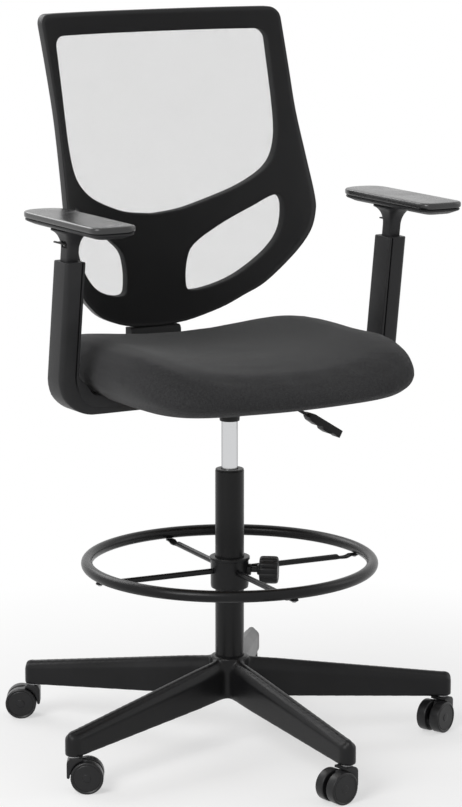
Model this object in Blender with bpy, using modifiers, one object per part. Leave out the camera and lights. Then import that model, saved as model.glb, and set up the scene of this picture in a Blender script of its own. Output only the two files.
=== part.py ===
"""A drafting chair: five-leg castor base, gas column with a clamped foot ring, and an upholstered
seat with a mesh back and height-adjustable arms.

Metres, +Z up. The sitter faces -Y and has +X at the left hand. The origin is on the floor at the
middle of the footprint, and the column axis stands COLUMN_Y behind it.
"""

import math

import bmesh
import bpy
from mathutils import Matrix, Vector

GAP = 0.0003            # clearance left between two pieces that touch or slide
COLUMN_Y = 0.030        # column axis, behind the middle of the footprint
FLAT_SIDES = 20         # sides of small round pieces
ROUND_SIDES = 28        # sides of large round pieces

# Castors
WHEEL_RADIUS = 0.0275
WHEEL_WIDTH = 0.0185
WHEEL_EDGE = 0.003
HOOD_WEB = 0.007        # thickness of the hood between the two wheels
WHEEL_SIDE_GAP = 0.001  # between hood web and wheel
CASTOR_TRAIL = 0.022    # from stem axis back to wheel axle
HOOD_GAP = 0.0013       # radial, between hood and wheel
HOOD_WALL = 0.0052      # thickness of the hood at its nose, in front of the wheel
HOOD_WIDTH = 0.030
AXLE_RADIUS = 0.003
AXLE_IN_WHEEL = 0.014
STEM_RADIUS = 0.0055
STEM_COLLAR_RADIUS = 0.010
STEM_COLLAR_HEIGHT = 0.002
STEM_DEPTH = 0.034      # length of stem inside the leg
STEM_IN_HOOD = 0.0045
CASTOR_ANGLES = (-171, -157, 150, 150, -30)   # way each castor trails at rest, from +X

# Star base
LEG_COUNT = 5
BASE_RADIUS = 0.401     # column axis to leg tip
LEG_WIDTH = 0.030
LEG_RIDGE = 0.010       # width of the flat along a leg's top edge
LEG_ROOT = 0.012        # column axis to the start of a leg, inside the hub
LEG_END_HEIGHT = 0.042
LEG_RISE_TOP = 0.052    # top edge climbs this much from tip to hub
LEG_RISE_BOTTOM = 0.022
LEG_GAP_ABOVE_WHEEL = 0.0062   # from wheel top to underside of leg tip
HUB_WALL = 0.0077       # socket to the outside of the hub
HUB_ABOVE_LEGS = 0.0018
HOOD_NOSE = WHEEL_RADIUS + HOOD_GAP + HOOD_WALL         # from wheel axle forward
LEG_END_BOTTOM = 2 * WHEEL_RADIUS + LEG_GAP_ABOVE_WHEEL
LEG_END_TOP = LEG_END_BOTTOM + LEG_END_HEIGHT
STEM_REACH = BASE_RADIUS - LEG_WIDTH / 2
HUB_TOP = LEG_END_TOP + LEG_RISE_TOP + HUB_ABOVE_LEGS

# Column
TUBE_RADIUS = 0.025
TUBE_WALL = 0.002
TUBE_LENGTH = 0.3965
TUBE_FLOOR = 0.004      # thickness of the tube's closed bottom
TUBE_SEAT = 0.0053      # tube bottom over the lower edge of the hub
CYLINDER_RADIUS = 0.014
CYLINDER_WALL = 0.0018
CYLINDER_SHOWN = 0.087  # bright part between the tube and the mechanism
CYLINDER_IN_TUBE = 0.245
CYLINDER_TAPER = 0.001  # the cone's top end is smaller than the cylinder by this
TAPER_LENGTH = 0.0335
BUSHING_LENGTH = 0.075
BUSHING_LIP = 0.003
ROD_RADIUS = 0.005
PISTON_HEIGHT = 0.012
PISTON_REACH = 0.153    # piston top over the lower end of the gas cylinder
BEARING_RADIUS = 0.016
BEARING_HEIGHT = 0.008
CLIP_RADIUS = 0.011
CLIP_HEIGHT = 0.0025
VALVE_RADIUS = 0.004
VALVE_SHOWN = 0.0055    # valve pin over the cone's top
VALVE_DEPTH = 0.0435
TUBE_BOTTOM = LEG_END_BOTTOM + LEG_RISE_BOTTOM + TUBE_SEAT
TUBE_TOP = TUBE_BOTTOM + TUBE_LENGTH
SOCKET_BOTTOM = TUBE_TOP + CYLINDER_SHOWN
TAPER_TOP = SOCKET_BOTTOM + TAPER_LENGTH

# Under the seat
SOCKET_WALL = 0.0032
HOUSING_ABOVE_SOCKET = 0.023
HOUSING_HEIGHT = 0.0259
HOUSING_HALF_X = 0.055
HOUSING_FRONT = 0.085
HOUSING_REAR = 0.125
HOUSING_WALL = 0.003
SEAT_PLATE_THICK = 0.0035
SEAT_PLATE_HALF_X = 0.070
SEAT_PLATE_FRONT = 0.130
SEAT_PLATE_REAR = 0.150
BOARD_THICK = 0.012
HOUSING_BOTTOM = SOCKET_BOTTOM + HOUSING_ABOVE_SOCKET
HOUSING_TOP = HOUSING_BOTTOM + HOUSING_HEIGHT
BOARD_BOTTOM = HOUSING_TOP + SEAT_PLATE_THICK + 2 * GAP

# Height lever
LEVER_ROD_RADIUS = 0.003
LEVER_PIVOT_X = 0.034
LEVER_PIN_RADIUS = 0.002
LEVER_EYE_WALL = 0.002
LEVER_EYE_HALF = 0.0055 # half the eye block's length along the pin
LEVER_DROP = 0.013      # from the seat plate's edge out to the downward bend
LEVER_STEM = 0.062      # bend to paddle, along X
LEVER_PADDLE = 0.076    # paddle's length along X
LEVER_SLOPE = math.radians(32)
PADDLE_HALF_WIDTH = 0.011
PADDLE_THICK = 0.009
LEVER_Z = TAPER_TOP + VALVE_SHOWN + GAP + LEVER_ROD_RADIUS

# Foot ring
RING_RADIUS = 0.2475    # centre line
RING_TUBE = 0.010
COLLAR_ON_TUBE = 0.1895 # collar's lower end over the tube's
COLLAR_LENGTH = 0.055
COLLAR_WALL = 0.0077
COLLAR_RIM = 0.0025
COLLAR_RIM_HEIGHT = 0.005
RING_BELOW_COLLAR = 0.0105     # ring's centre line under the collar's top
SPOKE_COUNT = 4
SPOKE_RADIUS = 0.005
SPOKE_TAB_THICK = 0.004
SPOKE_TAB_WIDTH = 0.014
SPOKE_TAB_LENGTH = 0.0255
SPOKE_TAB_PAST = 0.003  # tab end beyond the ring's centre line
SPOKE_TURN = math.radians(-4)
KNOB_TURN = math.radians(-35)
KNOB_RADIUS = 0.024
KNOB_LENGTH = 0.033
KNOB_STAND_OFF = 0.019  # collar to the knob's inner face
KNOB_ABOVE_MIDDLE = 0.004
KNOB_SCREW_RADIUS = 0.005
KNOB_FLUTES = 12
KNOB_FLUTE_RADIUS = 0.004
COLLAR_BOTTOM = TUBE_BOTTOM + COLLAR_ON_TUBE
COLLAR_TOP = COLLAR_BOTTOM + COLLAR_LENGTH
COLLAR_RADIUS = TUBE_RADIUS + GAP + COLLAR_WALL
RING_Z = COLLAR_TOP - RING_BELOW_COLLAR

# Seat
SEAT_HALF_X = 0.266
SEAT_FRONT = 0.262
SEAT_REAR = 0.235
SEAT_HEIGHT = 0.072     # at the middle of the seat
SEAT_BOLSTER = 0.030    # sides stand higher than the middle by this
SEAT_FALL_START = 0.080 # where the front starts to fall, before the column axis
SEAT_FALL = 0.030
SEAT_CORNER = 4.2       # exponent of the plan outline, larger is squarer
BOARD_INSET = 0.052     # from the cushion's outline in to the board
SEAT_BOTTOM = BOARD_BOTTOM

# Back
BACK_HEIGHT = 0.561
BACK_ABOVE_SEAT = 0.002 # lower edge over the middle of the seat
BACK_BEHIND_SEAT = 0.026       # centre line of the front surface behind the seat's rear edge
BACK_THICK = 0.022
BACK_HALF_TOP = 0.237
BACK_HALF_WIDEST = 0.2455
BACK_WRAP_TOP = 0.030   # sides stand forward of the centre line by this at the top
BACK_WRAP_SWELL = 0.130 # and by this much more lower down
BACK_WRAP_TURN = math.radians(100)
BACK_WRAP_POWER = 2.6
BACK_RIM_SIDE = 0.027   # frame width beside and above the upper window
BACK_RIM_TOP = 0.038
BACK_CORNER = 0.014     # radius of the back's top corners
WINDOW_CORNER = 0.018
BACK_GRID = 0.040       # spacing of the cuts that let the flat panel follow the curve
MESH_THICK = 0.0012
BRACKET_HALF_X = 0.050
BRACKET_THICK = 0.024
BRACKET_TONGUE_HALF_X = 0.040
BRACKET_TONGUE_THICK = 0.009
BRACKET_TONGUE_REACH = 0.069   # length of the tongue inside the back
BRACKET_BAR_THICK = 0.010
BRACKET_BEND = 0.035
BACK_BOTTOM = SEAT_BOTTOM + SEAT_HEIGHT + BACK_ABOVE_SEAT
BACK_TOP = BACK_BOTTOM + BACK_HEIGHT
BACK_LINE_Y = SEAT_REAR + BACK_BEHIND_SEAT
BRACKET_BAR_TOP = HOUSING_TOP - GAP
BRACKET_TONGUE_TOP = BACK_BOTTOM + BRACKET_TONGUE_REACH

# Arms
ARM_BESIDE_SEAT = 0.0315       # seat's side to the upright
ARM_Y = 0.018           # upright centre line at its foot, behind the column axis
ARM_LEAN = math.radians(8.2)
ARM_WIDTH = 0.035       # along X
ARM_DEPTH = 0.052       # along Y
ARM_CORNER = 0.009
ARM_RISE = 0.248        # sleeve's top over the seat board's underside
ARM_BAR_THICK = 0.0155
ARM_BAR_HALF_Y = 0.030
ARM_BAR_INNER_X = 0.150
ARM_BEND = 0.052        # radius of the bend's centre line
POST_WIDTH = 0.022
POST_DEPTH = 0.030
POST_IN_SLEEVE = 0.130
POST_SHOWN = 0.054      # sleeve's top to the top of the neck
NECK_HEIGHT = 0.040
POST_TRAVEL_DOWN = POST_SHOWN - NECK_HEIGHT - 0.001     # until the neck meets the sleeve
NECK_HALF_LENGTH = 0.050
NECK_HALF_WIDTH = 0.026
PAD_THICK = 0.0144
PAD_BASE_THICK = 0.007
PAD_BASE_INSET = 0.017
PAD_HALF_WIDTH = 0.0405
PAD_FRONT = 0.188       # pad's front and rear ends, measured from the column axis
PAD_REAR = 0.094
PAD_FRONT_CORNER = 0.024
PAD_REAR_CORNER = 0.038
RELEASE_LENGTH = 0.030
RELEASE_THICK = 0.003
RELEASE_HALF_WIDTH = 0.008
RELEASE_IN_POST = 0.0117
ARM_X = SEAT_HALF_X + ARM_BESIDE_SEAT + ARM_WIDTH / 2
ARM_FOOT_Z = BOARD_BOTTOM + 0.008
ARM_TOP_Z = BOARD_BOTTOM + ARM_RISE
ARM_BAR_TOP = BOARD_BOTTOM - GAP
POST_TOP = ARM_TOP_Z + POST_SHOWN
PAD_BASE_BOTTOM = POST_TOP + GAP
PAD_BOTTOM = PAD_BASE_BOTTOM + PAD_BASE_THICK + GAP
PAD_TOP = PAD_BOTTOM + PAD_THICK

parts = None
cutters = None


def clear_scene():
    for obj in list(bpy.data.objects):
        bpy.data.objects.remove(obj, do_unlink=True)


def new_collection(name):
    made = bpy.data.collections.new(name)
    bpy.context.scene.collection.children.link(made)
    return made


def finish(name, colour, roughness, metallic=0.0):
    material = bpy.data.materials.new(name)
    material.use_nodes = True
    shader = material.node_tree.nodes["Principled BSDF"]
    shader.inputs["Base Color"].default_value = (*colour, 1.0)
    shader.inputs["Roughness"].default_value = roughness
    shader.inputs["Metallic"].default_value = metallic
    return material


def add(name, data, material=None, collection=None):
    obj = bpy.data.objects.new(name, data)
    (collection or parts).objects.link(obj)
    if material:
        data.materials.append(material)
    return obj


def empty(name, location, angle_z=0.0, parent=None):
    obj = add(name, None)
    obj.location = location
    obj.rotation_euler = (0, 0, angle_z)
    obj.parent = parent
    return obj


def mesh_from(name, bm):
    bmesh.ops.remove_doubles(bm, verts=bm.verts, dist=0.00001)
    bmesh.ops.recalc_face_normals(bm, faces=bm.faces)
    mesh = bpy.data.meshes.new(name)
    bm.to_mesh(mesh)
    bm.free()
    return mesh


def smooth(obj, degrees=35):
    obj.data.shade_smooth()
    obj.data.set_sharp_from_angle(angle=math.radians(degrees))
    return obj


def box(name, low, high, material=None, collection=None):
    bm = bmesh.new()
    size = Vector(high) - Vector(low)
    middle = (Vector(high) + Vector(low)) / 2
    matrix = Matrix.Translation(middle) @ Matrix.Diagonal((*size, 1))
    bmesh.ops.create_cube(bm, size=1, matrix=matrix)
    return add(name, mesh_from(name, bm), material, collection)


def cylinder(name, radius, start, end, material=None, collection=None, sides=FLAT_SIDES):
    """A cylinder between two points."""
    start = Vector(start)
    run = Vector(end) - start
    turn = Vector((0, 0, 1)).rotation_difference(run).to_matrix().to_4x4()
    matrix = Matrix.Translation(start + run / 2) @ turn
    bm = bmesh.new()
    bmesh.ops.create_cone(bm, cap_ends=True, segments=sides, radius1=radius, radius2=radius,
                          depth=run.length, matrix=matrix)
    return smooth(add(name, mesh_from(name, bm), material, collection))


def turned(name, profile, material=None, collection=None, sides=ROUND_SIDES):
    """A profile of (radius, height) points, outer side first from top to bottom, turned about Z."""
    bm = bmesh.new()
    verts = [bm.verts.new((radius, 0, height)) for radius, height in profile]
    closed = profile[0][0] > 0
    for first, second in zip(verts, verts[1:] + verts[:1] if closed else verts[1:]):
        bm.edges.new((first, second))
    mesh = bpy.data.meshes.new(name)
    bm.to_mesh(mesh)
    bm.free()
    obj = add(name, mesh, material, collection)
    screw = obj.modifiers.new("Turn", "SCREW")
    screw.steps = screw.render_steps = sides
    screw.use_merge_vertices = True
    screw.merge_threshold = 0.0001
    return obj


def prism(name, outline, half_thick, material=None, collection=None):
    """An outline of (x, y) points as a 2D curve, filled and extruded both ways along Z."""
    curve = bpy.data.curves.new(name, "CURVE")
    curve.dimensions = "2D"
    curve.fill_mode = "BOTH"
    curve.extrude = half_thick
    spline = curve.splines.new("POLY")
    spline.points.add(len(outline) - 1)
    for point, (x, y) in zip(spline.points, outline):
        point.co = (x, y, 0, 1)
    spline.use_cyclic_u = True
    return as_mesh(add(name, curve, material, collection))


def rod(name, points, radius, material=None, collection=None, resolution=2):
    """A round rod along straight runs between points."""
    curve = bpy.data.curves.new(name, "CURVE")
    curve.dimensions = "3D"
    curve.bevel_depth = radius
    curve.bevel_resolution = resolution
    curve.use_fill_caps = True
    spline = curve.splines.new("POLY")
    spline.points.add(len(points) - 1)
    for point, place in zip(spline.points, points):
        point.co = (*place, 1)
    return as_mesh(add(name, curve, material, collection))


def as_mesh(obj):
    """The curve object as a mesh object of the same name, with its caps welded."""
    name = obj.name
    where = obj.matrix_world.copy()
    collection = obj.users_collection[0]
    mesh = bpy.data.meshes.new_from_object(obj.evaluated_get(bpy.context.evaluated_depsgraph_get()))
    materials = list(obj.data.materials)
    bpy.data.objects.remove(obj, do_unlink=True)
    bm = bmesh.new()
    bm.from_mesh(mesh)
    bmesh.ops.remove_doubles(bm, verts=bm.verts, dist=0.00001)
    bmesh.ops.recalc_face_normals(bm, faces=bm.faces)
    bm.to_mesh(mesh)
    bm.free()
    mesh.name = name
    mesh.materials.clear()
    made = add(name, mesh, None, collection)
    for material in materials:
        mesh.materials.append(material)
    made.matrix_world = where
    return made


def loft(name, rings, material=None, collection=None):
    """A closed skin over rings of equally many points, with a flat cap at each end."""
    bm = bmesh.new()
    rows = [[bm.verts.new(point) for point in ring] for ring in rings]
    count = len(rows[0])
    for lower, upper in zip(rows, rows[1:]):
        for i in range(count):
            j = (i + 1) % count
            bm.faces.new((lower[i], lower[j], upper[j], upper[i]))
    bm.faces.new(rows[0][::-1])
    bm.faces.new(rows[-1])
    return smooth(add(name, mesh_from(name, bm), material, collection))


def combine(obj, tool, operation):
    """Cut or join with a tool, which becomes a hidden guide."""
    tool.hide_render = True
    tool.display_type = "WIRE"
    for collection in tool.users_collection:
        collection.objects.unlink(tool)
    cutters.objects.link(tool)
    step = obj.modifiers.new(operation.title(), "BOOLEAN")
    step.operation = operation
    step.object = tool
    step.solver = "EXACT"
    return obj


def cut(obj, tool):
    return combine(obj, tool, "DIFFERENCE")


def join(obj, tool):
    return combine(obj, tool, "UNION")


def rounded_outline(half_x, low_y, high_y, low_radius, high_radius, steps=4):
    """A rectangle with rounded corners: low_radius at low_y, high_radius at high_y."""
    corners = (
        (half_x - low_radius, low_y + low_radius, low_radius, -90),
        (half_x - high_radius, high_y - high_radius, high_radius, 0),
        (-half_x + high_radius, high_y - high_radius, high_radius, 90),
        (-half_x + low_radius, low_y + low_radius, low_radius, 180),
    )
    outline = []
    for x, y, radius, start in corners:
        for step in range(steps + 1):
            angle = math.radians(start + 90 * step / steps)
            outline.append((x + radius * math.cos(angle), y + radius * math.sin(angle)))
    return outline


# ---------------------------------------------------------------- castors and base

def leg_angle(index):
    """Way a leg points, from +X. The first points to the front."""
    return math.radians(-90 + 360 / LEG_COUNT * index)


def stem_place(index):
    angle = leg_angle(index)
    return Vector((STEM_REACH * math.cos(angle), COLUMN_Y + STEM_REACH * math.sin(angle), 0))


def leg_section(reach, low, high, width=LEG_WIDTH, drop=0.0):
    """Outline of a leg across its length, at a distance from the column axis."""
    top = high - drop
    shoulder = high - (high - low) * 0.30 - drop / 2
    half = width / 2
    ridge = half * LEG_RIDGE / LEG_WIDTH
    step = half * 0.6
    return [(reach, y, z) for y, z in (
        (-half, low), (half, low), (half, shoulder), (step, top - 0.004), (ridge, top),
        (-ridge, top), (-step, top - 0.004), (-half, shoulder))]


def star_base(material):
    hub_bottom = LEG_END_BOTTOM + LEG_RISE_BOTTOM
    base = cylinder("star_base", TUBE_RADIUS + GAP + HUB_WALL, (0, 0, hub_bottom),
                    (0, 0, HUB_TOP), material, sides=ROUND_SIDES)
    base.location = (0, COLUMN_Y, 0)
    sections = [
        leg_section(LEG_ROOT, hub_bottom + 0.001, LEG_END_TOP + LEG_RISE_TOP)]
    for degrees, drop in ((0, 0.0), (35, 0.001), (60, 0.004), (80, 0.009)):
        turn = math.radians(degrees)
        sections.append(leg_section(
            STEM_REACH + LEG_WIDTH / 2 * math.sin(turn), LEG_END_BOTTOM, LEG_END_TOP,
            LEG_WIDTH * math.cos(turn), drop))
    for index in range(LEG_COUNT):
        leg = loft(f"leg_{index + 1}", sections, material)
        leg.location = (0, COLUMN_Y, 0)
        leg.rotation_euler = (0, 0, leg_angle(index))
        join(base, leg)
    socket = cylinder("column_socket", TUBE_RADIUS + GAP, (0, COLUMN_Y, TUBE_BOTTOM - GAP),
                      (0, COLUMN_Y, HUB_TOP + 0.1), None, sides=ROUND_SIDES)
    well = cylinder("clip_well", BEARING_RADIUS, (0, COLUMN_Y, 0.02),
                    (0, COLUMN_Y, HUB_TOP), None)
    cut(base, socket)
    cut(base, well)
    for index in range(LEG_COUNT):
        place = stem_place(index)
        hole = cylinder(f"stem_hole_{index + 1}", STEM_RADIUS + GAP,
                        place + Vector((0, 0, LEG_END_BOTTOM - 0.01)),
                        place + Vector((0, 0, LEG_END_BOTTOM + STEM_DEPTH + GAP)), None, sides=16)
        cut(base, hole)
    return base


def wheel_outline():
    bore = AXLE_RADIUS + GAP
    inner = HOOD_WEB / 2 + WHEEL_SIDE_GAP
    outer = inner + WHEEL_WIDTH
    return [
        (0, outer), (WHEEL_RADIUS - WHEEL_EDGE, outer), (WHEEL_RADIUS, outer - WHEEL_EDGE),
        (WHEEL_RADIUS, inner + WHEEL_EDGE / 2), (WHEEL_RADIUS - WHEEL_EDGE / 2, inner),
        (bore, inner), (bore, inner + AXLE_IN_WHEEL + GAP), (0, inner + AXLE_IN_WHEEL + GAP)]


def hood_outline():
    """Side view of the hood: x runs forward from the axle, y is height above the axle."""
    inner = WHEEL_RADIUS + HOOD_GAP
    top = LEG_END_BOTTOM - STEM_COLLAR_HEIGHT - GAP - WHEEL_RADIUS
    rear = CASTOR_TRAIL - STEM_COLLAR_RADIUS - 0.004
    start = math.atan2(math.sqrt(inner ** 2 - rear ** 2), rear)
    arc = [(inner * math.cos(start * (1 - i / 8)), inner * math.sin(start * (1 - i / 8)))
           for i in range(9)]
    nose = HOOD_NOSE - inner
    round_end = [(inner + nose / 2 - nose / 2 * math.cos(math.radians(a)),
                  -nose / 2 * math.sin(math.radians(a))) for a in (45, 90, 135)]
    corner = 0.008
    shoulder = [(HOOD_NOSE - corner + corner * math.cos(math.radians(a)),
                 top - corner + corner * math.sin(math.radians(a))) for a in (0, 30, 60, 90)]
    return arc + round_end + shoulder + [(rear, top)]


def web_outline():
    """The flat web between the wheels, from the nose to round the axle."""
    inner = WHEEL_RADIUS + HOOD_GAP
    top = LEG_END_BOTTOM - STEM_COLLAR_HEIGHT - GAP - WHEEL_RADIUS
    boss = 0.009
    under = [(boss * math.cos(math.radians(a)), boss * math.sin(math.radians(a)))
             for a in range(120, 301, 30)]
    return under + [(inner + 0.002, 0.002), (inner + 0.002, top - 0.008), (CASTOR_TRAIL, top - 0.002),
                    (0, WHEEL_RADIUS - 0.002)]


def castor(index, metal, plastic, hard_nylon):
    number = index + 1
    place = stem_place(index)
    pivot = empty(f"castor_pivot_{number}", place, math.radians(CASTOR_ANGLES[index] + 180))
    axle_at = Vector((-CASTOR_TRAIL, 0, WHEEL_RADIUS))
    upright = (math.radians(90), 0, 0)

    hood = prism(f"castor_hood_{number}", hood_outline(), HOOD_WIDTH / 2, plastic)
    web = prism(f"hood_web_{number}", web_outline(), HOOD_WEB / 2, plastic)
    for piece in (hood, web):
        piece.parent = pivot
        piece.location = axle_at
        piece.rotation_euler = upright
    join(hood, web)
    hole = cylinder(f"axle_hole_{number}", AXLE_RADIUS + GAP, (0, -0.02, 0), (0, 0.02, 0), None,
                    sides=12)
    hole.parent = pivot
    hole.location = axle_at
    cut(hood, hole)
    hood_top = LEG_END_BOTTOM - STEM_COLLAR_HEIGHT - GAP
    pocket = cylinder(f"stem_pocket_{number}", STEM_RADIUS + GAP,
                      (0, 0, hood_top - STEM_IN_HOOD), (0, 0, hood_top + 0.01), None, sides=16)
    pocket.parent = pivot
    cut(hood, pocket)

    half = HOOD_WEB / 2 + WHEEL_SIDE_GAP + AXLE_IN_WHEEL
    axle = cylinder(f"castor_axle_{number}", AXLE_RADIUS, (0, -half, 0), (0, half, 0), metal,
                    sides=12)
    axle.parent = pivot
    axle.location = axle_at
    for side, turn in (("left", -90), ("right", 90)):
        wheel = turned(f"castor_wheel_{number}_{side}", wheel_outline(), hard_nylon, sides=FLAT_SIDES)
        wheel.parent = pivot
        wheel.location = axle_at
        wheel.rotation_euler = (math.radians(turn), 0, 0)

    stem = turned(f"castor_stem_{number}", [
        (0, LEG_END_BOTTOM + STEM_DEPTH), (STEM_RADIUS - 0.001, LEG_END_BOTTOM + STEM_DEPTH),
        (STEM_RADIUS, LEG_END_BOTTOM + STEM_DEPTH - 0.001), (STEM_RADIUS, LEG_END_BOTTOM - GAP),
        (STEM_COLLAR_RADIUS, LEG_END_BOTTOM - GAP),
        (STEM_COLLAR_RADIUS, LEG_END_BOTTOM - STEM_COLLAR_HEIGHT),
        (STEM_RADIUS, LEG_END_BOTTOM - STEM_COLLAR_HEIGHT),
        (STEM_RADIUS, hood_top - STEM_IN_HOOD + GAP), (0, hood_top - STEM_IN_HOOD + GAP)],
        metal, sides=16)
    stem.location = place


# ---------------------------------------------------------------- column

def column(paint, chrome, steel, plastic):
    inner = TUBE_RADIUS - TUBE_WALL
    tube = turned("column_tube", [
        (TUBE_RADIUS, TUBE_TOP), (TUBE_RADIUS, TUBE_BOTTOM), (ROD_RADIUS + GAP, TUBE_BOTTOM),
        (ROD_RADIUS + GAP, TUBE_BOTTOM + TUBE_FLOOR), (inner, TUBE_BOTTOM + TUBE_FLOOR),
        (inner, TUBE_TOP)], paint)
    bushing = turned("column_bushing", [
        (TUBE_RADIUS - 0.001, TUBE_TOP + BUSHING_LIP), (TUBE_RADIUS - 0.0002, TUBE_TOP + GAP),
        (inner - GAP, TUBE_TOP + GAP), (inner - GAP, TUBE_TOP - BUSHING_LENGTH),
        (CYLINDER_RADIUS + GAP, TUBE_TOP - BUSHING_LENGTH),
        (CYLINDER_RADIUS + GAP, TUBE_TOP + BUSHING_LIP)], plastic)
    bearing_top = TUBE_BOTTOM + TUBE_FLOOR + GAP + BEARING_HEIGHT
    bearing = turned("thrust_bearing", [
        (BEARING_RADIUS, bearing_top), (BEARING_RADIUS, bearing_top - BEARING_HEIGHT),
        (ROD_RADIUS + GAP, bearing_top - BEARING_HEIGHT), (ROD_RADIUS + GAP, bearing_top)], steel)
    groove = ROD_RADIUS - 0.0015
    clip_top = TUBE_BOTTOM - GAP
    clip_low = clip_top - CLIP_HEIGHT
    piston = CYLINDER_RADIUS - CYLINDER_WALL - GAP
    low = TUBE_TOP - CYLINDER_IN_TUBE
    piston_top = low + PISTON_REACH
    rod_piece = turned("piston_rod", [
        (0, piston_top), (piston, piston_top), (piston, piston_top - PISTON_HEIGHT),
        (ROD_RADIUS, piston_top - PISTON_HEIGHT), (ROD_RADIUS, clip_top + GAP),
        (groove, clip_top + GAP), (groove, clip_low - GAP), (ROD_RADIUS, clip_low - GAP),
        (ROD_RADIUS, clip_low - 0.004), (0, clip_low - 0.004)], steel, sides=FLAT_SIDES)
    clip = turned("retaining_clip", [
        (CLIP_RADIUS, clip_top), (CLIP_RADIUS, clip_low), (groove + GAP, clip_low),
        (groove + GAP, clip_top)], steel, sides=FLAT_SIDES)

    bore = CYLINDER_RADIUS - CYLINDER_WALL
    cone = CYLINDER_RADIUS - CYLINDER_TAPER
    head = SOCKET_BOTTOM - 0.019
    cylinder_piece = turned("gas_cylinder", [
        (VALVE_RADIUS + GAP, TAPER_TOP), (cone, TAPER_TOP),
        (CYLINDER_RADIUS, SOCKET_BOTTOM + 0.002), (CYLINDER_RADIUS, low), (bore, low),
        (bore, head), (VALVE_RADIUS + GAP, head)], chrome)
    valve = cylinder("valve_pin", VALVE_RADIUS, (0, 0, TAPER_TOP - VALVE_DEPTH),
                     (0, 0, TAPER_TOP + VALVE_SHOWN), steel, sides=12)
    for piece in (tube, bushing, bearing, rod_piece, clip, cylinder_piece, valve):
        piece.location = (0, COLUMN_Y, 0)


# ---------------------------------------------------------------- foot ring

def foot_ring(paint, plastic):
    pivot = empty("foot_rest_pivot", (0, COLUMN_Y, 0))
    bore = TUBE_RADIUS + GAP
    rim = COLLAR_RADIUS + COLLAR_RIM
    collar = turned("foot_collar", [
        (rim, COLLAR_TOP), (rim, COLLAR_TOP - COLLAR_RIM_HEIGHT),
        (COLLAR_RADIUS, COLLAR_TOP - COLLAR_RIM_HEIGHT), (COLLAR_RADIUS, COLLAR_BOTTOM),
        (bore, COLLAR_BOTTOM), (bore, COLLAR_TOP)], plastic)
    collar.parent = pivot

    bm = bmesh.new()
    bmesh.ops.create_circle(bm, segments=10, radius=RING_TUBE,
                            matrix=Matrix.Translation((RING_RADIUS, 0, RING_Z))
                            @ Matrix.Rotation(math.radians(90), 4, "X"))
    bmesh.ops.spin(bm, geom=bm.verts[:] + bm.edges[:], cent=(0, 0, 0), axis=(0, 0, 1),
                   angle=math.tau, steps=56, use_merge=True)
    ring = smooth(add("foot_ring", mesh_from("foot_ring", bm), paint), 60)
    ring.parent = pivot

    tab_top = RING_Z - RING_TUBE - GAP
    spoke_z = tab_top - SPOKE_TAB_THICK + 0.001
    tab_start = RING_RADIUS - SPOKE_TAB_LENGTH
    half = SPOKE_TAB_WIDTH / 2
    for index in range(SPOKE_COUNT):
        spoke = rod(f"foot_spoke_{index + 1}", [
            (COLLAR_RADIUS + 3 * GAP, 0, spoke_z), (tab_start + 0.006, 0, spoke_z)],
            SPOKE_RADIUS, paint)
        tab = box(f"spoke_tab_{index + 1}",
                  (tab_start - 0.004, -half, tab_top - SPOKE_TAB_THICK),
                  (RING_RADIUS + SPOKE_TAB_PAST, half, tab_top), paint)
        for piece in (spoke, tab):
            piece.parent = pivot
            piece.rotation_euler = (0, 0, SPOKE_TURN + math.tau / SPOKE_COUNT * index)
        join(spoke, tab)

    knob_z = (COLLAR_TOP + COLLAR_BOTTOM) / 2 + KNOB_ABOVE_MIDDLE
    knob_start = COLLAR_RADIUS + KNOB_STAND_OFF
    knob_pivot = empty("knob_pivot", (0, 0, knob_z), KNOB_TURN, pivot)
    knob = cylinder("clamp_knob", KNOB_RADIUS, (knob_start, 0, 0),
                    (knob_start + KNOB_LENGTH, 0, 0), plastic, sides=24)
    screw = cylinder("knob_screw", KNOB_SCREW_RADIUS, (TUBE_RADIUS + 2 * GAP, 0, 0),
                     (knob_start + 0.004, 0, 0), plastic, sides=12)
    for piece in (knob, screw):
        piece.parent = knob_pivot
    join(knob, screw)
    for index in range(KNOB_FLUTES):
        angle = math.tau / KNOB_FLUTES * index
        y = (KNOB_RADIUS + KNOB_FLUTE_RADIUS * 0.6) * math.cos(angle)
        z = (KNOB_RADIUS + KNOB_FLUTE_RADIUS * 0.6) * math.sin(angle)
        flute = cylinder(f"knob_flute_{index + 1}", KNOB_FLUTE_RADIUS,
                         (knob_start - 0.01, y, z), (knob_start + KNOB_LENGTH + 0.01, y, z),
                         None, sides=8)
        flute.parent = knob_pivot
        cut(knob, flute)
    hole = cylinder("screw_hole", KNOB_SCREW_RADIUS + GAP, (0, 0, 0), (knob_start, 0, 0), None,
                    sides=12)
    hole.parent = knob_pivot
    cut(collar, hole)


# ---------------------------------------------------------------- seat and mechanism

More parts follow.
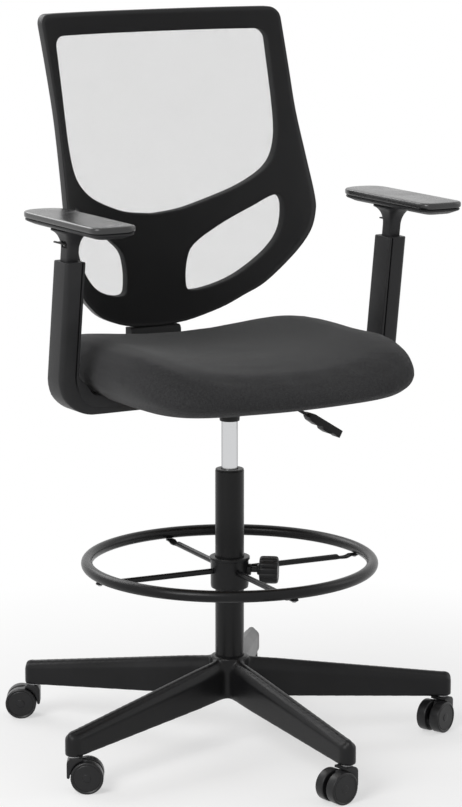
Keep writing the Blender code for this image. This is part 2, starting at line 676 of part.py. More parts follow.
def housing(steel):
    piece = box("mechanism_housing", (-HOUSING_HALF_X, -HOUSING_FRONT, HOUSING_BOTTOM),
                (HOUSING_HALF_X, HOUSING_REAR, HOUSING_TOP), steel)
    piece.location = (0, COLUMN_Y, 0)
    bevel = piece.modifiers.new("Soften", "BEVEL")
    bevel.width = 0.002
    bevel.segments = 1
    boss = cylinder("socket_boss", CYLINDER_RADIUS + GAP + SOCKET_WALL, (0, COLUMN_Y, SOCKET_BOTTOM),
                    (0, COLUMN_Y, TAPER_TOP), steel, sides=FLAT_SIDES)
    inside = HOUSING_WALL
    hollow = box("housing_hollow",
                 (-HOUSING_HALF_X + inside, COLUMN_Y - HOUSING_FRONT + inside, HOUSING_BOTTOM + inside),
                 (HOUSING_HALF_X - inside, COLUMN_Y + HOUSING_REAR - inside, HOUSING_TOP + 0.01), None)
    cut(piece, hollow)
    join(piece, boss)
    narrow = CYLINDER_RADIUS - CYLINDER_TAPER + GAP
    cone = turned("socket_bore", [
        (0, TAPER_TOP + 0.01), (narrow, TAPER_TOP + 0.01), (narrow, TAPER_TOP),
        (CYLINDER_RADIUS + GAP, SOCKET_BOTTOM + 0.002),
        (CYLINDER_RADIUS + GAP, SOCKET_BOTTOM - 0.01), (0, SOCKET_BOTTOM - 0.01)], None)
    cone.location = (0, COLUMN_Y, 0)
    cut(piece, cone)
    reach = LEVER_ROD_RADIUS + 0.002
    slot = box("lever_slot", (HOUSING_HALF_X - 0.01, COLUMN_Y - reach, LEVER_Z - reach),
               (HOUSING_HALF_X + 0.01, COLUMN_Y + reach, HOUSING_TOP + 0.01), None)
    return cut(piece, slot)


def lever(steel, plastic):
    """Rod from over the valve out through the housing, then down to the paddle."""
    drop = math.tan(LEVER_SLOPE)
    bend_x = SEAT_PLATE_HALF_X + LEVER_DROP - LEVER_PIVOT_X
    grip_x = bend_x + LEVER_STEM
    piece = rod("height_lever", [
        (-LEVER_PIVOT_X - 0.004, 0, 0), (bend_x - 0.008, 0, 0), (bend_x, 0, -0.002),
        (grip_x + 0.01, 0, -(LEVER_STEM + 0.01) * drop)], LEVER_ROD_RADIUS, steel)
    length = LEVER_PADDLE / math.cos(LEVER_SLOPE)
    paddle = box("lever_paddle", (0, -PADDLE_HALF_WIDTH, -PADDLE_THICK / 2),
                 (length, PADDLE_HALF_WIDTH, PADDLE_THICK / 2), plastic)
    bevel = paddle.modifiers.new("Soften", "BEVEL")
    bevel.width = 0.003
    bevel.segments = 2
    piece.location = (LEVER_PIVOT_X, COLUMN_Y, LEVER_Z)
    paddle.location = (LEVER_PIVOT_X + grip_x, COLUMN_Y, LEVER_Z - LEVER_STEM * drop)
    paddle.rotation_euler = (0, LEVER_SLOPE, 0)
    join(piece, paddle)
    pin_hole = cylinder("pin_hole", LEVER_PIN_RADIUS + GAP, (LEVER_PIVOT_X, COLUMN_Y - 0.02, LEVER_Z),
                        (LEVER_PIVOT_X, COLUMN_Y + 0.02, LEVER_Z), None, sides=12)
    eye = LEVER_PIN_RADIUS + GAP + LEVER_EYE_WALL
    block = box("lever_eye", (LEVER_PIVOT_X - eye, COLUMN_Y - LEVER_EYE_HALF, LEVER_Z - eye),
                (LEVER_PIVOT_X + eye, COLUMN_Y + LEVER_EYE_HALF, LEVER_Z + eye), steel)
    join(piece, block)
    cut(piece, pin_hole)
    cylinder("lever_pin", LEVER_PIN_RADIUS, (LEVER_PIVOT_X, COLUMN_Y - 0.010, LEVER_Z),
             (LEVER_PIVOT_X, COLUMN_Y + 0.010, LEVER_Z), steel, sides=12)


def pin_ears(body):
    """Two ears inside the housing that carry the lever's pin."""
    for side in (-1, 1):
        low = COLUMN_Y + side * 0.0085 - 0.0015
        ear = box(f"lever_ear_{side + 2}",
                  (LEVER_PIVOT_X - 0.005, low, HOUSING_BOTTOM + HOUSING_WALL - 0.001),
                  (LEVER_PIVOT_X + 0.005, low + 0.003, LEVER_Z + 0.0045), None)
        join(body, ear)
    hole = cylinder("ear_hole", LEVER_PIN_RADIUS + GAP, (LEVER_PIVOT_X, COLUMN_Y - 0.012, LEVER_Z),
                    (LEVER_PIVOT_X, COLUMN_Y + 0.012, LEVER_Z), None, sides=12)
    cut(body, hole)


def seat_outline(inset, count=36):
    """Plan of the seat as a squared oval, (x, y) from the column axis."""
    middle = (SEAT_REAR - SEAT_FRONT) / 2
    half_x = SEAT_HALF_X - inset
    half_y = (SEAT_REAR + SEAT_FRONT) / 2 - inset
    points = []
    for index in range(count):
        angle = math.tau * index / count
        c = math.cos(angle)
        s = math.sin(angle)
        x = half_x * math.copysign(abs(c) ** (2 / SEAT_CORNER), c)
        y = half_y * math.copysign(abs(s) ** (2 / SEAT_CORNER), s)
        points.append((x, middle + y))
    return points


def seat_top(x, y):
    """Height of the seat's surface over its flat underside: dished, with raised sides and a fall
    towards the front."""
    side = min(1.0, abs(x) / SEAT_HALF_X)
    fall = max(0.0, (-y - SEAT_FALL_START) / (SEAT_FRONT - SEAT_FALL_START))
    return SEAT_HEIGHT + SEAT_BOLSTER * side ** 2 - SEAT_FALL * fall ** 2


def cushion(fabric):
    """Rings of the seat outline, drawn in at the top and at the rolled lower edge."""
    levels = ((0.046, 0.0), (0.020, 0.12), (0.004, 0.32), (0.0, 0.52), (0.008, 0.77),
              (0.026, 0.94), (0.060, 1.0), (0.130, 0.99), (0.190, 0.98))
    rings = []
    for inset, share in levels:
        rings.append([(x, COLUMN_Y + y, SEAT_BOTTOM + seat_top(x, y) * share)
                      for x, y in seat_outline(inset)])
    piece = loft("seat_cushion", rings, fabric)
    pocket = prism("board_pocket", seat_outline(BOARD_INSET - GAP), BOARD_THICK / 2 + 0.005)
    pocket.location = (0, COLUMN_Y, BOARD_BOTTOM + BOARD_THICK / 2 + GAP - 0.005)
    cut(piece, pocket)


def seat(fabric, wood, steel, plastic):
    pin_ears(housing(steel))
    lever(steel, plastic)
    plate = box("seat_plate", (-SEAT_PLATE_HALF_X, COLUMN_Y - SEAT_PLATE_FRONT, HOUSING_TOP + GAP),
                (SEAT_PLATE_HALF_X, COLUMN_Y + SEAT_PLATE_REAR,
                 HOUSING_TOP + GAP + SEAT_PLATE_THICK), steel)
    bevel = plate.modifiers.new("Soften", "BEVEL")
    bevel.affect = "EDGES"
    bevel.width = 0.001
    bevel.segments = 1
    board = prism("seat_board", seat_outline(BOARD_INSET), BOARD_THICK / 2, wood)
    board.location = (0, COLUMN_Y, BOARD_BOTTOM + BOARD_THICK / 2)
    cushion(fabric)


# ---------------------------------------------------------------- back

def back_surface(x, z):
    """Y of the back's front surface, from the column axis."""
    share = min(1.0, max(0.0, (BACK_TOP - z) / BACK_HEIGHT))
    wrap = BACK_WRAP_TOP + BACK_WRAP_SWELL * math.sin(BACK_WRAP_TURN * share)
    return BACK_LINE_Y - wrap * abs(x / BACK_HALF_WIDEST) ** BACK_WRAP_POWER


def mirrored(points):
    """A closed outline from its +X half, given from the bottom centre to the top centre."""
    return points + [(-x, z) for x, z in reversed(points) if x > 0.0001]


def smooth_path(points, steps):
    """Points along a curve through the given ones, not closed."""
    path = []
    last = len(points) - 1
    for i in range(last):
        a = Vector(points[max(i - 1, 0)])
        b = Vector(points[i])
        c = Vector(points[i + 1])
        d = Vector(points[min(i + 2, last)])
        for step in range(steps):
            t = step / steps
            path.append(tuple(0.5 * ((2 * b) + (c - a) * t + (2 * a - 5 * b + 4 * c - d) * t ** 2
                                     + (3 * b - a - 3 * c + d) * t ** 3)))
    path.append(tuple(points[last]))
    return path


def on_back(shares):
    """Places on the back, from shares of its half width and of its height."""
    return [(x * BACK_HALF_WIDEST, BACK_BOTTOM + z * BACK_HEIGHT) for x, z in shares]


def corner(x, z, radius, steps=3):
    """Points round the upper corner of a shape whose sides meet at x and z."""
    return [(x - radius + radius * math.cos(math.pi / 2 * i / steps),
             z - radius + radius * math.sin(math.pi / 2 * i / steps)) for i in range(steps + 1)]


def back_outline():
    side = BACK_HALF_TOP
    half = on_back((
        (0.0, 0.0), (0.245, 0.009), (0.480, 0.046), (0.632, 0.091), (0.750, 0.136),
        (0.882, 0.223), (0.965, 0.301), (0.997, 0.367), (1.0, 0.420), (0.981, 0.537)))
    half += [(side - 0.001, BACK_TOP - 0.180), (side - 0.001, BACK_TOP - 0.110),
             (side, BACK_TOP - 0.025)]
    return mirrored(smooth_path(half, 2) + corner(side, BACK_TOP, BACK_CORNER) + [(0.0, BACK_TOP)])


def upper_window():
    side = BACK_HALF_TOP - BACK_RIM_SIDE
    top = BACK_TOP - BACK_RIM_TOP
    half = on_back(((0.0, 0.358), (0.245, 0.372), (0.530, 0.419), (0.700, 0.467), (0.798, 0.519)))
    half += [(side - 0.003, BACK_TOP - 0.230), (side, BACK_TOP - 0.180), (side, top - 0.050)]
    return mirrored(smooth_path(half, 2) + corner(side, top, WINDOW_CORNER) + [(0.0, top)])


def lower_window(side):
    points = on_back((
        (0.270, 0.109), (0.242, 0.144), (0.253, 0.205), (0.301, 0.253), (0.473, 0.312),
        (0.676, 0.373), (0.782, 0.408), (0.831, 0.412), (0.851, 0.380), (0.827, 0.298),
        (0.741, 0.225), (0.582, 0.153), (0.411, 0.116)))
    closed = smooth_path(points + points[:1], 2)[:-1]
    return [(side * x, z) for x, z in closed]


def flat_fill(outlines):
    """A flat filled mesh of outlines, where an outline inside another is a hole."""
    curve = bpy.data.curves.new("fill", "CURVE")
    curve.dimensions = "2D"
    curve.fill_mode = "BOTH"
    for outline in outlines:
        spline = curve.splines.new("POLY")
        spline.points.add(len(outline) - 1)
        for point, (x, z) in zip(spline.points, outline):
            point.co = (x, z, 0, 1)
        spline.use_cyclic_u = True
    filled = as_mesh(add("fill", curve))
    mesh = filled.data
    bpy.data.objects.remove(filled, do_unlink=True)
    return mesh


def back_sheet():
    """The back as a flat sheet in strips; faces over a window have material index 1."""
    windows = [upper_window(), lower_window(1), lower_window(-1)]
    bm = bmesh.new()
    bm.from_mesh(flat_fill([back_outline()] + windows))
    rim_faces = len(bm.faces)
    for window in windows:
        bm.from_mesh(flat_fill([window]))
    bm.faces.ensure_lookup_table()
    for face in bm.faces[rim_faces:]:
        face.material_index = 1
    bmesh.ops.remove_doubles(bm, verts=bm.verts, dist=0.00001)
    bmesh.ops.dissolve_limit(bm, angle_limit=0.01, verts=bm.verts, edges=bm.edges,
                             delimit={"MATERIAL"})
    count = int(BACK_HALF_WIDEST / BACK_GRID)
    cuts = [((index * BACK_GRID, 0, 0), (1, 0, 0)) for index in range(-count, count + 1)]
    rows = int(BACK_HEIGHT / (2 * BACK_GRID))
    cuts += [((0, BACK_BOTTOM + (index + 0.5) * 2 * BACK_GRID, 0), (0, 1, 0))
             for index in range(rows)]
    for place, normal in cuts:
        geometry = bm.verts[:] + bm.edges[:] + bm.faces[:]
        bmesh.ops.bisect_plane(bm, geom=geometry, plane_co=place, plane_no=normal, dist=0.0004)
    bmesh.ops.triangulate(bm, faces=bm.faces)
    return bm


def back_panel(name, thick, stand_off, windows_open, material):
    """The sheet laid on the back's curve and drawn straight back to its thickness."""
    bm = back_sheet()
    if windows_open:
        over_window = [face for face in bm.faces if face.material_index == 1]
        bmesh.ops.delete(bm, geom=over_window, context="FACES")
    for face in bm.faces:
        face.material_index = 0
    for vert in bm.verts:
        x, z, _ = vert.co
        vert.co = (x, COLUMN_Y + back_surface(x, z) + stand_off, z)
    rear = bmesh.ops.extrude_face_region(bm, geom=bm.faces[:])
    moved = [item for item in rear["geom"] if isinstance(item, bmesh.types.BMVert)]
    bmesh.ops.translate(bm, verts=moved, vec=(0, thick, 0))
    return smooth(add(name, mesh_from(name, bm), material), 60)


def back(plastic, steel, net):
    frame = back_panel("back_frame", BACK_THICK, 0.0, True, plastic)
    back_panel("back_mesh", MESH_THICK, -MESH_THICK - 1.5 * GAP, False, net)

    tongue_y = COLUMN_Y + back_surface(0, BRACKET_TONGUE_TOP) + BACK_THICK * 0.5
    slot = box("tongue_slot",
               (-BRACKET_TONGUE_HALF_X - GAP, tongue_y - BRACKET_TONGUE_THICK / 2 - GAP,
                BACK_BOTTOM - 0.02),
               (BRACKET_TONGUE_HALF_X + GAP, tongue_y + BRACKET_TONGUE_THICK / 2 + GAP,
                BRACKET_TONGUE_TOP + GAP), None)
    cut(frame, slot)

    rear = tongue_y + BRACKET_THICK / 2
    low = BRACKET_BAR_TOP - BRACKET_BAR_THICK
    start = COLUMN_Y + HOUSING_REAR + GAP
    block_low = low + BRACKET_BEND
    outer = [(rear - BRACKET_BEND * (1 - math.sin(math.radians(a))),
              low + BRACKET_BEND * (1 - math.cos(math.radians(a)))) for a in range(0, 91, 15)]
    profile = [(start, low)] + outer + [
        (rear, BACK_BOTTOM - GAP), (rear - BRACKET_THICK, BACK_BOTTOM - GAP),
        (rear - BRACKET_THICK, block_low), (rear - BRACKET_BEND, BRACKET_BAR_TOP),
        (start, BRACKET_BAR_TOP)]
    bracket = prism("back_bracket", profile, BRACKET_HALF_X, steel)
    bracket.rotation_euler = (math.radians(90), 0, math.radians(90))
    half = BRACKET_TONGUE_THICK / 2
    tongue = box("bracket_tongue", (-BRACKET_TONGUE_HALF_X, tongue_y - half, BACK_BOTTOM - 0.02),
                 (BRACKET_TONGUE_HALF_X, tongue_y + half, BRACKET_TONGUE_TOP), steel)
    join(bracket, tongue)


# ---------------------------------------------------------------- arms

def lean_place(z):
    """Y of the upright's centre line at a height."""
    return COLUMN_Y + ARM_Y - math.tan(ARM_LEAN) * (z - ARM_FOOT_Z)


def section(half_w, half_d, corner, steps=3):
    return rounded_outline(half_w, -half_d, half_d, corner, corner, steps)


def arm_upright(side_name, side, plastic):
    """A flat bar under the seat that bends up into a leaning sleeve."""
    bar_half = ARM_BAR_THICK / 2
    bar_z = ARM_BAR_TOP - bar_half
    y0 = lean_place(ARM_FOOT_Z)
    rings = []
    for x in (ARM_BAR_INNER_X, ARM_X - ARM_BEND - 0.035):
        rings.append([(side * x, y0 + v, bar_z + u)
                      for u, v in section(bar_half, ARM_BAR_HALF_Y, 0.004)])
    steps = 6
    for index in range(1, steps + 1):
        share = index / steps
        angle = math.radians(90) * share
        x = ARM_X - ARM_BEND + ARM_BEND * math.sin(angle)
        z = bar_z + 0.010 * share + ARM_BEND * (1 - math.cos(angle))
        half_w = bar_half + (ARM_WIDTH / 2 - bar_half) * min(1, share * 1.5)
        half_d = ARM_BAR_HALF_Y + (ARM_DEPTH / 2 - ARM_BAR_HALF_Y) * share
        corner = 0.004 + (ARM_CORNER - 0.004) * share
        y = lean_place(z) * share + y0 * (1 - share)
        ring = []
        for u, v in section(half_w, half_d, corner):
            ring.append((side * (x - u * math.sin(angle)), y + v, z + u * math.cos(angle)))
        rings.append(ring)
    ring = []
    for u, v in section(ARM_WIDTH / 2, ARM_DEPTH / 2, ARM_CORNER):
        ring.append((side * (ARM_X - u), lean_place(ARM_TOP_Z) + v, ARM_TOP_Z))
    rings.append(ring)
    piece = loft(f"{side_name}_arm_upright", rings, plastic)
    depth = POST_IN_SLEEVE + POST_TRAVEL_DOWN + 0.003
    low = ARM_TOP_Z - depth
    hole = loft(f"{side_name}_post_hole", [
        [(side * (ARM_X + u), lean_place(z) + v, z)
         for u, v in section(POST_WIDTH / 2 + GAP, POST_DEPTH / 2 + GAP, 0.004, 2)]
        for z in (low, ARM_TOP_Z + 0.02)])
    return cut(piece, hole)


def arm_post(side_name, side, plastic):
    """The sliding post, with a neck that flares into a long plate under the pad."""
    low = ARM_TOP_Z - POST_IN_SLEEVE
    top = POST_TOP
    rings = []
    for z, half_w, half_d in (
            (low, POST_WIDTH / 2, POST_DEPTH / 2),
            (top - NECK_HEIGHT, POST_WIDTH / 2, POST_DEPTH / 2),
            (top - NECK_HEIGHT * 0.55, POST_WIDTH / 2 + 0.001, POST_DEPTH / 2 + 0.003),
            (top - NECK_HEIGHT * 0.25, POST_WIDTH / 2 + 0.004, POST_DEPTH / 2 + 0.012),
            (top - 0.004, NECK_HALF_WIDTH, NECK_HALF_LENGTH),
            (top, NECK_HALF_WIDTH, NECK_HALF_LENGTH)):
        rings.append([(side * (ARM_X + u), lean_place(z) + v, z)
                      for u, v in section(half_w, half_d, 0.004, 2)])
    post = loft(f"{side_name}_arm_post", rings, plastic)
    slot_y = lean_place(top) + POST_DEPTH / 2
    slot_z = top - NECK_HEIGHT * 0.62
    notch = box(f"{side_name}_release_notch",
                (side * ARM_X - RELEASE_HALF_WIDTH - GAP, slot_y - RELEASE_IN_POST - GAP, slot_z - 0.005),
                (side * ARM_X + RELEASE_HALF_WIDTH + GAP, slot_y + 0.03, slot_z + 0.005), None)
    return cut(post, notch), slot_y, slot_z


def pad_outline(inset):
    return rounded_outline(PAD_HALF_WIDTH - inset, -PAD_FRONT + inset, PAD_REAR - inset,
                           PAD_FRONT_CORNER - inset, PAD_REAR_CORNER - inset, 5)


def arm(side_name, side, plastic, rubber):
    arm_upright(side_name, side, plastic)
    _, slot_y, slot_z = arm_post(side_name, side, plastic)
    pad = prism(f"{side_name}_arm_pad", pad_outline(0.0), PAD_THICK / 2, rubber)
    pad.location = (side * ARM_X, COLUMN_Y, PAD_BOTTOM + PAD_THICK / 2)
    base = prism(f"{side_name}_pad_base", pad_outline(PAD_BASE_INSET), PAD_BASE_THICK / 2, plastic)
    base.location = (side * ARM_X, COLUMN_Y, PAD_BASE_BOTTOM + PAD_BASE_THICK / 2)
    release = box(f"{side_name}_release_lever", (-RELEASE_HALF_WIDTH, 0, -RELEASE_THICK / 2),
                  (RELEASE_HALF_WIDTH, RELEASE_LENGTH, RELEASE_THICK / 2), plastic)
    release.location = (side * ARM_X, slot_y - RELEASE_IN_POST, slot_z)


def main():
    global parts, cutters
    clear_scene()
    parts = new_collection("drafting_chair")
    cutters = new_collection("cutters")

    black_nylon = finish("black_nylon", (0.020, 0.020, 0.021), 0.42)
    black_paint = finish("black_paint", (0.012, 0.012, 0.013), 0.38, 0.2)
    chrome = finish("chrome", (0.80, 0.81, 0.82), 0.10, 1.0)
    steel = finish("zinc_steel", (0.42, 0.42, 0.43), 0.35, 1.0)
    pan_steel = finish("pan_steel", (0.015, 0.015, 0.016), 0.45, 0.3)
    castor_black = finish("castor_nylon", (0.022, 0.022, 0.023), 0.50)
    fabric = finish("charcoal_fabric", (0.045, 0.045, 0.047), 0.92)
    net = finish("black_mesh", (0.012, 0.012, 0.012), 0.80)
    wood = finish("plywood", (0.50, 0.36, 0.22), 0.65)
    pad_skin = finish("grey_pad_skin", (0.10, 0.10, 0.105), 0.50)

    star_base(black_nylon)
    for index in range(LEG_COUNT):
        castor(index, steel, black_nylon, castor_black)
    column(black_paint, chrome, steel, black_nylon)
    foot_ring(black_paint, black_nylon)
    seat(fabric, wood, pan_steel, black_nylon)
    back(black_nylon, pan_steel, net)
    for side_name, side in (("left", 1), ("right", -1)):
        arm(side_name, side, black_nylon, pad_skin)


main()
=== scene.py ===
# %% [markdown]
# A drafting chair, its pieces finished one by one
# The frame holds every solid of the chair at its real size. This lesson gives each one the
# surface that a maker would recognise: moulded nylon, powder coat, chrome, woven cloth and net.
# The first cell loads the frame. Later cells read the boxes of its solids.

# %% Load the frame
import math

import bmesh
import bpy
import numpy as np
from mathutils import Matrix, Vector


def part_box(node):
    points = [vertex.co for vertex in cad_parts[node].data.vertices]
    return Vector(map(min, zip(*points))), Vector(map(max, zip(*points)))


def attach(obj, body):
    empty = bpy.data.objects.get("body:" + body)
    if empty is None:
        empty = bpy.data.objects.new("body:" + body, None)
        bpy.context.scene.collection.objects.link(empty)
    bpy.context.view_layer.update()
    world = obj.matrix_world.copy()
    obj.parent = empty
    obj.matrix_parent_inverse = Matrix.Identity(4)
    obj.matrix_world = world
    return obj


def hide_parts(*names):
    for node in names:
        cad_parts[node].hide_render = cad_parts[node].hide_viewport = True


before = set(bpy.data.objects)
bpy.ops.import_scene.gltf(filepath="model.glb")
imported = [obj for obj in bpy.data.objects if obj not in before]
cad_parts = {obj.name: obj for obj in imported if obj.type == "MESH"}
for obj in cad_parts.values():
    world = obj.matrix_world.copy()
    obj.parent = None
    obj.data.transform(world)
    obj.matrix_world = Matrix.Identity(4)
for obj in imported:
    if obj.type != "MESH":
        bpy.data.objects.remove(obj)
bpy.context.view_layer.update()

GAP = 0.0003  # what the frame keeps between neighbours

# %% [markdown]
# Blender's operators act on whatever is selected, and the frame arrives selected. These small
# helpers keep that under control: one picks objects, one adds a modifier and applies it, one
# selects a mesh's faces by a test, and one names a new object and puts its origin at the scene's
# origin, with its place in its mesh. `dress` finishes a piece: its material, the body that
# carries it and the solids that it replaces.

# %% Picking, shaping and naming
def pick(*objects):
    """Select only these objects. The last one is active."""
    if bpy.context.object and bpy.context.object.mode != "OBJECT":
        bpy.ops.object.mode_set(mode="OBJECT")
    bpy.ops.object.select_all(action="DESELECT")
    for obj in objects:
        obj.select_set(True)
    bpy.context.view_layer.objects.active = objects[-1]
    return objects[-1]


def shape(obj, kind, **settings):
    """Add a modifier, set it up and apply it."""
    pick(obj)
    step = obj.modifiers.new(kind.title(), kind)
    for key, value in settings.items():
        setattr(step, key, value)
    bpy.ops.object.modifier_apply(modifier=step.name)
    return obj


def named(name):
    """The object just added, under its own name, with its place, turn and scale in its mesh."""
    obj = bpy.context.object
    obj.name = name
    obj.data.name = name
    pick(obj)
    bpy.ops.object.transform_apply(location=True, rotation=True, scale=True)
    return obj


def smooth(obj, degrees=40):
    """Shade smooth, apart from edges sharper than an angle."""
    pick(obj)
    bpy.ops.object.shade_smooth_by_angle(angle=math.radians(degrees))
    return obj


# %% Selecting faces, cleaning and copying
def choose_faces(obj, test=lambda face: True):
    """Select the faces that pass a test. The mesh stays in edit mode."""
    pick(obj)
    bpy.ops.object.mode_set(mode="EDIT")
    bpy.ops.mesh.select_mode(type="FACE")
    bpy.ops.mesh.select_all(action="DESELECT")
    bm = bmesh.from_edit_mesh(obj.data)
    for face in bm.faces:
        if test(face):
            face.select_set(True)
    bm.select_flush_mode()
    bmesh.update_edit_mesh(obj.data)


def clean(obj):
    """Merge doubles and turn all faces outwards."""
    pick(obj)
    bpy.ops.object.mode_set(mode="EDIT")
    bpy.ops.mesh.select_all(action="SELECT")
    bpy.ops.mesh.remove_doubles(threshold=0.00002)
    bpy.ops.mesh.normals_make_consistent(inside=False)
    bpy.ops.object.mode_set(mode="OBJECT")
    return obj


def copy_of(obj, name, matrix=Matrix.Identity(4)):
    """A copy with its own mesh, moved by a matrix that goes into the mesh."""
    made = obj.copy()
    made.data = obj.data.copy()
    made.name = name
    made.data.name = name
    bpy.context.scene.collection.objects.link(made)
    made.data.transform(matrix)
    made.data.update()
    return made


# %% Cutting and dressing
def discard(*objects):
    """Remove helper objects."""
    for obj in objects:
        bpy.data.objects.remove(obj, do_unlink=True)


def cut_by(obj, *tools, operation="DIFFERENCE"):
    """Boolean by tools, which are then removed."""
    for tool in tools:
        shape(obj, "BOOLEAN", operation=operation, object=tool, solver="EXACT")
        discard(tool)
    return obj


def paint(obj, material):
    """Give an object one material."""
    obj.data.materials.clear()
    obj.data.materials.append(material)


def paint_nodes(material, *names):
    """Give one material to solids of the frame that are shown as they are."""
    for name in names:
        paint(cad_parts[name], material)


def dress(obj, material, slot, body, *nodes):
    """Give a finished piece its material, its body and the solids it replaces. The slot is not
    used.
    """
    paint(obj, material)
    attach(obj, body)
    if nodes:
        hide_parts(*nodes)
    print(obj.name, len(obj.data.polygons), "faces")
    return obj


# %% [markdown]
# Most metal and plastic pieces here are turned or drawn from an outline with rounded corners.
# `rounded` takes the plain corner points of an outline and replaces each corner by an arc, which
# is how a drawing gives it: corners and radii.

# %% Outlines
def rounded(points, radius, steps=4, closed=False):
    """Corner points with each inner corner replaced by an arc. A third value sets its radius."""
    path = []
    count = len(points)
    for index, point in enumerate(points):
        here = Vector(point[:2])
        size = point[2] if len(point) > 2 else radius
        if not closed and index in (0, count - 1) or size <= 0:
            path.append(here)
            continue
        before = Vector(points[index - 1][:2]) - here
        after = Vector(points[(index + 1) % count][:2]) - here
        half = before.angle(after) / 2
        reach = min(size / math.tan(half), before.length * 0.49, after.length * 0.49)
        start = here + before.normalized() * reach
        end = here + after.normalized() * reach
        for step in range(steps + 1):
            t = step / steps
            path.append(start * (1 - t) ** 2 + here * 2 * t * (1 - t) + end * t ** 2)
    return path


def circle_points(radius, start, end, count, centre=(0.0, 0.0)):
    """Points on an arc, from one angle in degrees to another."""
    angles = [math.radians(start + (end - start) * i / count) for i in range(count + 1)]
    return [(centre[0] + radius * math.cos(a), centre[1] + radius * math.sin(a))
            for a in angles]


def squared_oval(half_wide, half_deep, square, count):
    """Points round an oval. A larger exponent makes it squarer."""
    points = []
    for index in range(count):
        angle = math.tau * index / count
        c, s = math.cos(angle), math.sin(angle)
        points.append((half_wide * math.copysign(abs(c) ** (2 / square), c),
                       half_deep * math.copysign(abs(s) ** (2 / square), s)))
    return points


def rounded_box(half_wide, half_deep, corner):
    """A box outline about the origin with round corners."""
    return rounded([(-half_wide, -half_deep), (half_wide, -half_deep), (half_wide, half_deep),
                    (-half_wide, half_deep)], corner, 6, closed=True)


# %% [markdown]
# `lathe` starts from a plane merged to one vertex, extrudes that vertex along the outline and
# spins it about an upright axis. `bridge` makes a piece whose section changes on its way: it
# extrudes a circle of edges from each ring of points to the next, and closes both ends.

# %% Turned pieces and skins over rings
def lathe(name, profile, steps=64, centre=(0, 0)):
    """Turn a profile of (radius, height) about an upright axis through the centre."""
    bpy.ops.mesh.primitive_plane_add(size=0.001, location=(0, 0, 0))
    obj = bpy.context.object
    bpy.ops.object.mode_set(mode="EDIT")
    bpy.ops.mesh.merge(type="CENTER")
    bpy.ops.mesh.select_mode(type="VERT")
    bpy.ops.mesh.select_all(action="SELECT")
    last = Vector((profile[0][0] + centre[0], centre[1], profile[0][1]))
    bpy.ops.transform.translate(value=last)
    for radius, height in profile[1:]:
        here = Vector((radius + centre[0], centre[1], height))
        bpy.ops.mesh.extrude_vertices_move(TRANSFORM_OT_translate={"value": here - last})
        last = here
    bpy.ops.mesh.select_all(action="SELECT")
    bpy.ops.mesh.spin(steps=steps, angle=math.tau, center=(*centre, 0), axis=(0, 0, 1))
    bpy.ops.object.mode_set(mode="OBJECT")
    obj = named(name)
    return smooth(clean(obj))


def bridge(name, rings):
    """A closed skin over rings of equally many points: a circle extruded from ring to ring."""
    bpy.ops.mesh.primitive_circle_add(vertices=len(rings[0]), radius=0.01, location=(0, 0, 0))
    obj = bpy.context.object
    obj.name = name
    obj.data.name = name
    bpy.ops.object.mode_set(mode="EDIT")
    bpy.ops.mesh.select_mode(type="VERT")
    bpy.ops.mesh.select_all(action="SELECT")
    bm = bmesh.from_edit_mesh(obj.data)
    order = bm.verts.layers.int.new("order")
    for index, vert in enumerate(bm.verts):
        vert[order] = index
        vert.co = rings[0][index]
    bmesh.update_edit_mesh(obj.data)
    for ring in rings[1:]:
        bpy.ops.mesh.extrude_edges_move()
        bm = bmesh.from_edit_mesh(obj.data)
        order = bm.verts.layers.int["order"]
        for vert in bm.verts:
            if vert.select:
                vert.co = ring[vert[order]]
        bmesh.update_edit_mesh(obj.data)
    bpy.ops.mesh.select_all(action="DESELECT")
    bpy.ops.mesh.select_non_manifold(extend=False)
    bpy.ops.mesh.edge_face_add()
    bpy.ops.object.mode_set(mode="OBJECT")
    obj.data.attributes.remove(obj.data.attributes["order"])
    return smooth(clean(obj))


# %% [markdown]
# A flat piece starts as a closed 2D curve, which Blender fills, with any inner outline left
# out. A curve can be given a thickness and a round bevel at once. Where the rims should be
# bevelled afterwards, `thicken` draws the filled face out instead.

# %% Plates
def turned_left(outline):
    """The outline's points in the order that runs anticlockwise."""
    area = sum(a[0] * b[1] - b[0] * a[1] for a, b in zip(outline, outline[1:] + outline[:1]))
    return outline if area > 0 else outline[::-1]


def cut_into_grid(obj, outline, spacing):
    """Cut a flat piece into squares along X and Z, so that it can bend."""
    pick(obj)
    bpy.ops.object.mode_set(mode="EDIT")
    for axis, facing in enumerate(((1, 0, 0), (0, 0, 1))):
        places = [point[axis] for point in outline]
        low = min(places)
        size = max(places) - low
        count = int(size / spacing)
        for index in range(1, count):
            where = low + size * index / count
            bpy.ops.mesh.select_all(action="SELECT")
            bpy.ops.mesh.bisect(plane_co=[where * part for part in facing], plane_no=facing)
    bpy.ops.object.mode_set(mode="OBJECT")


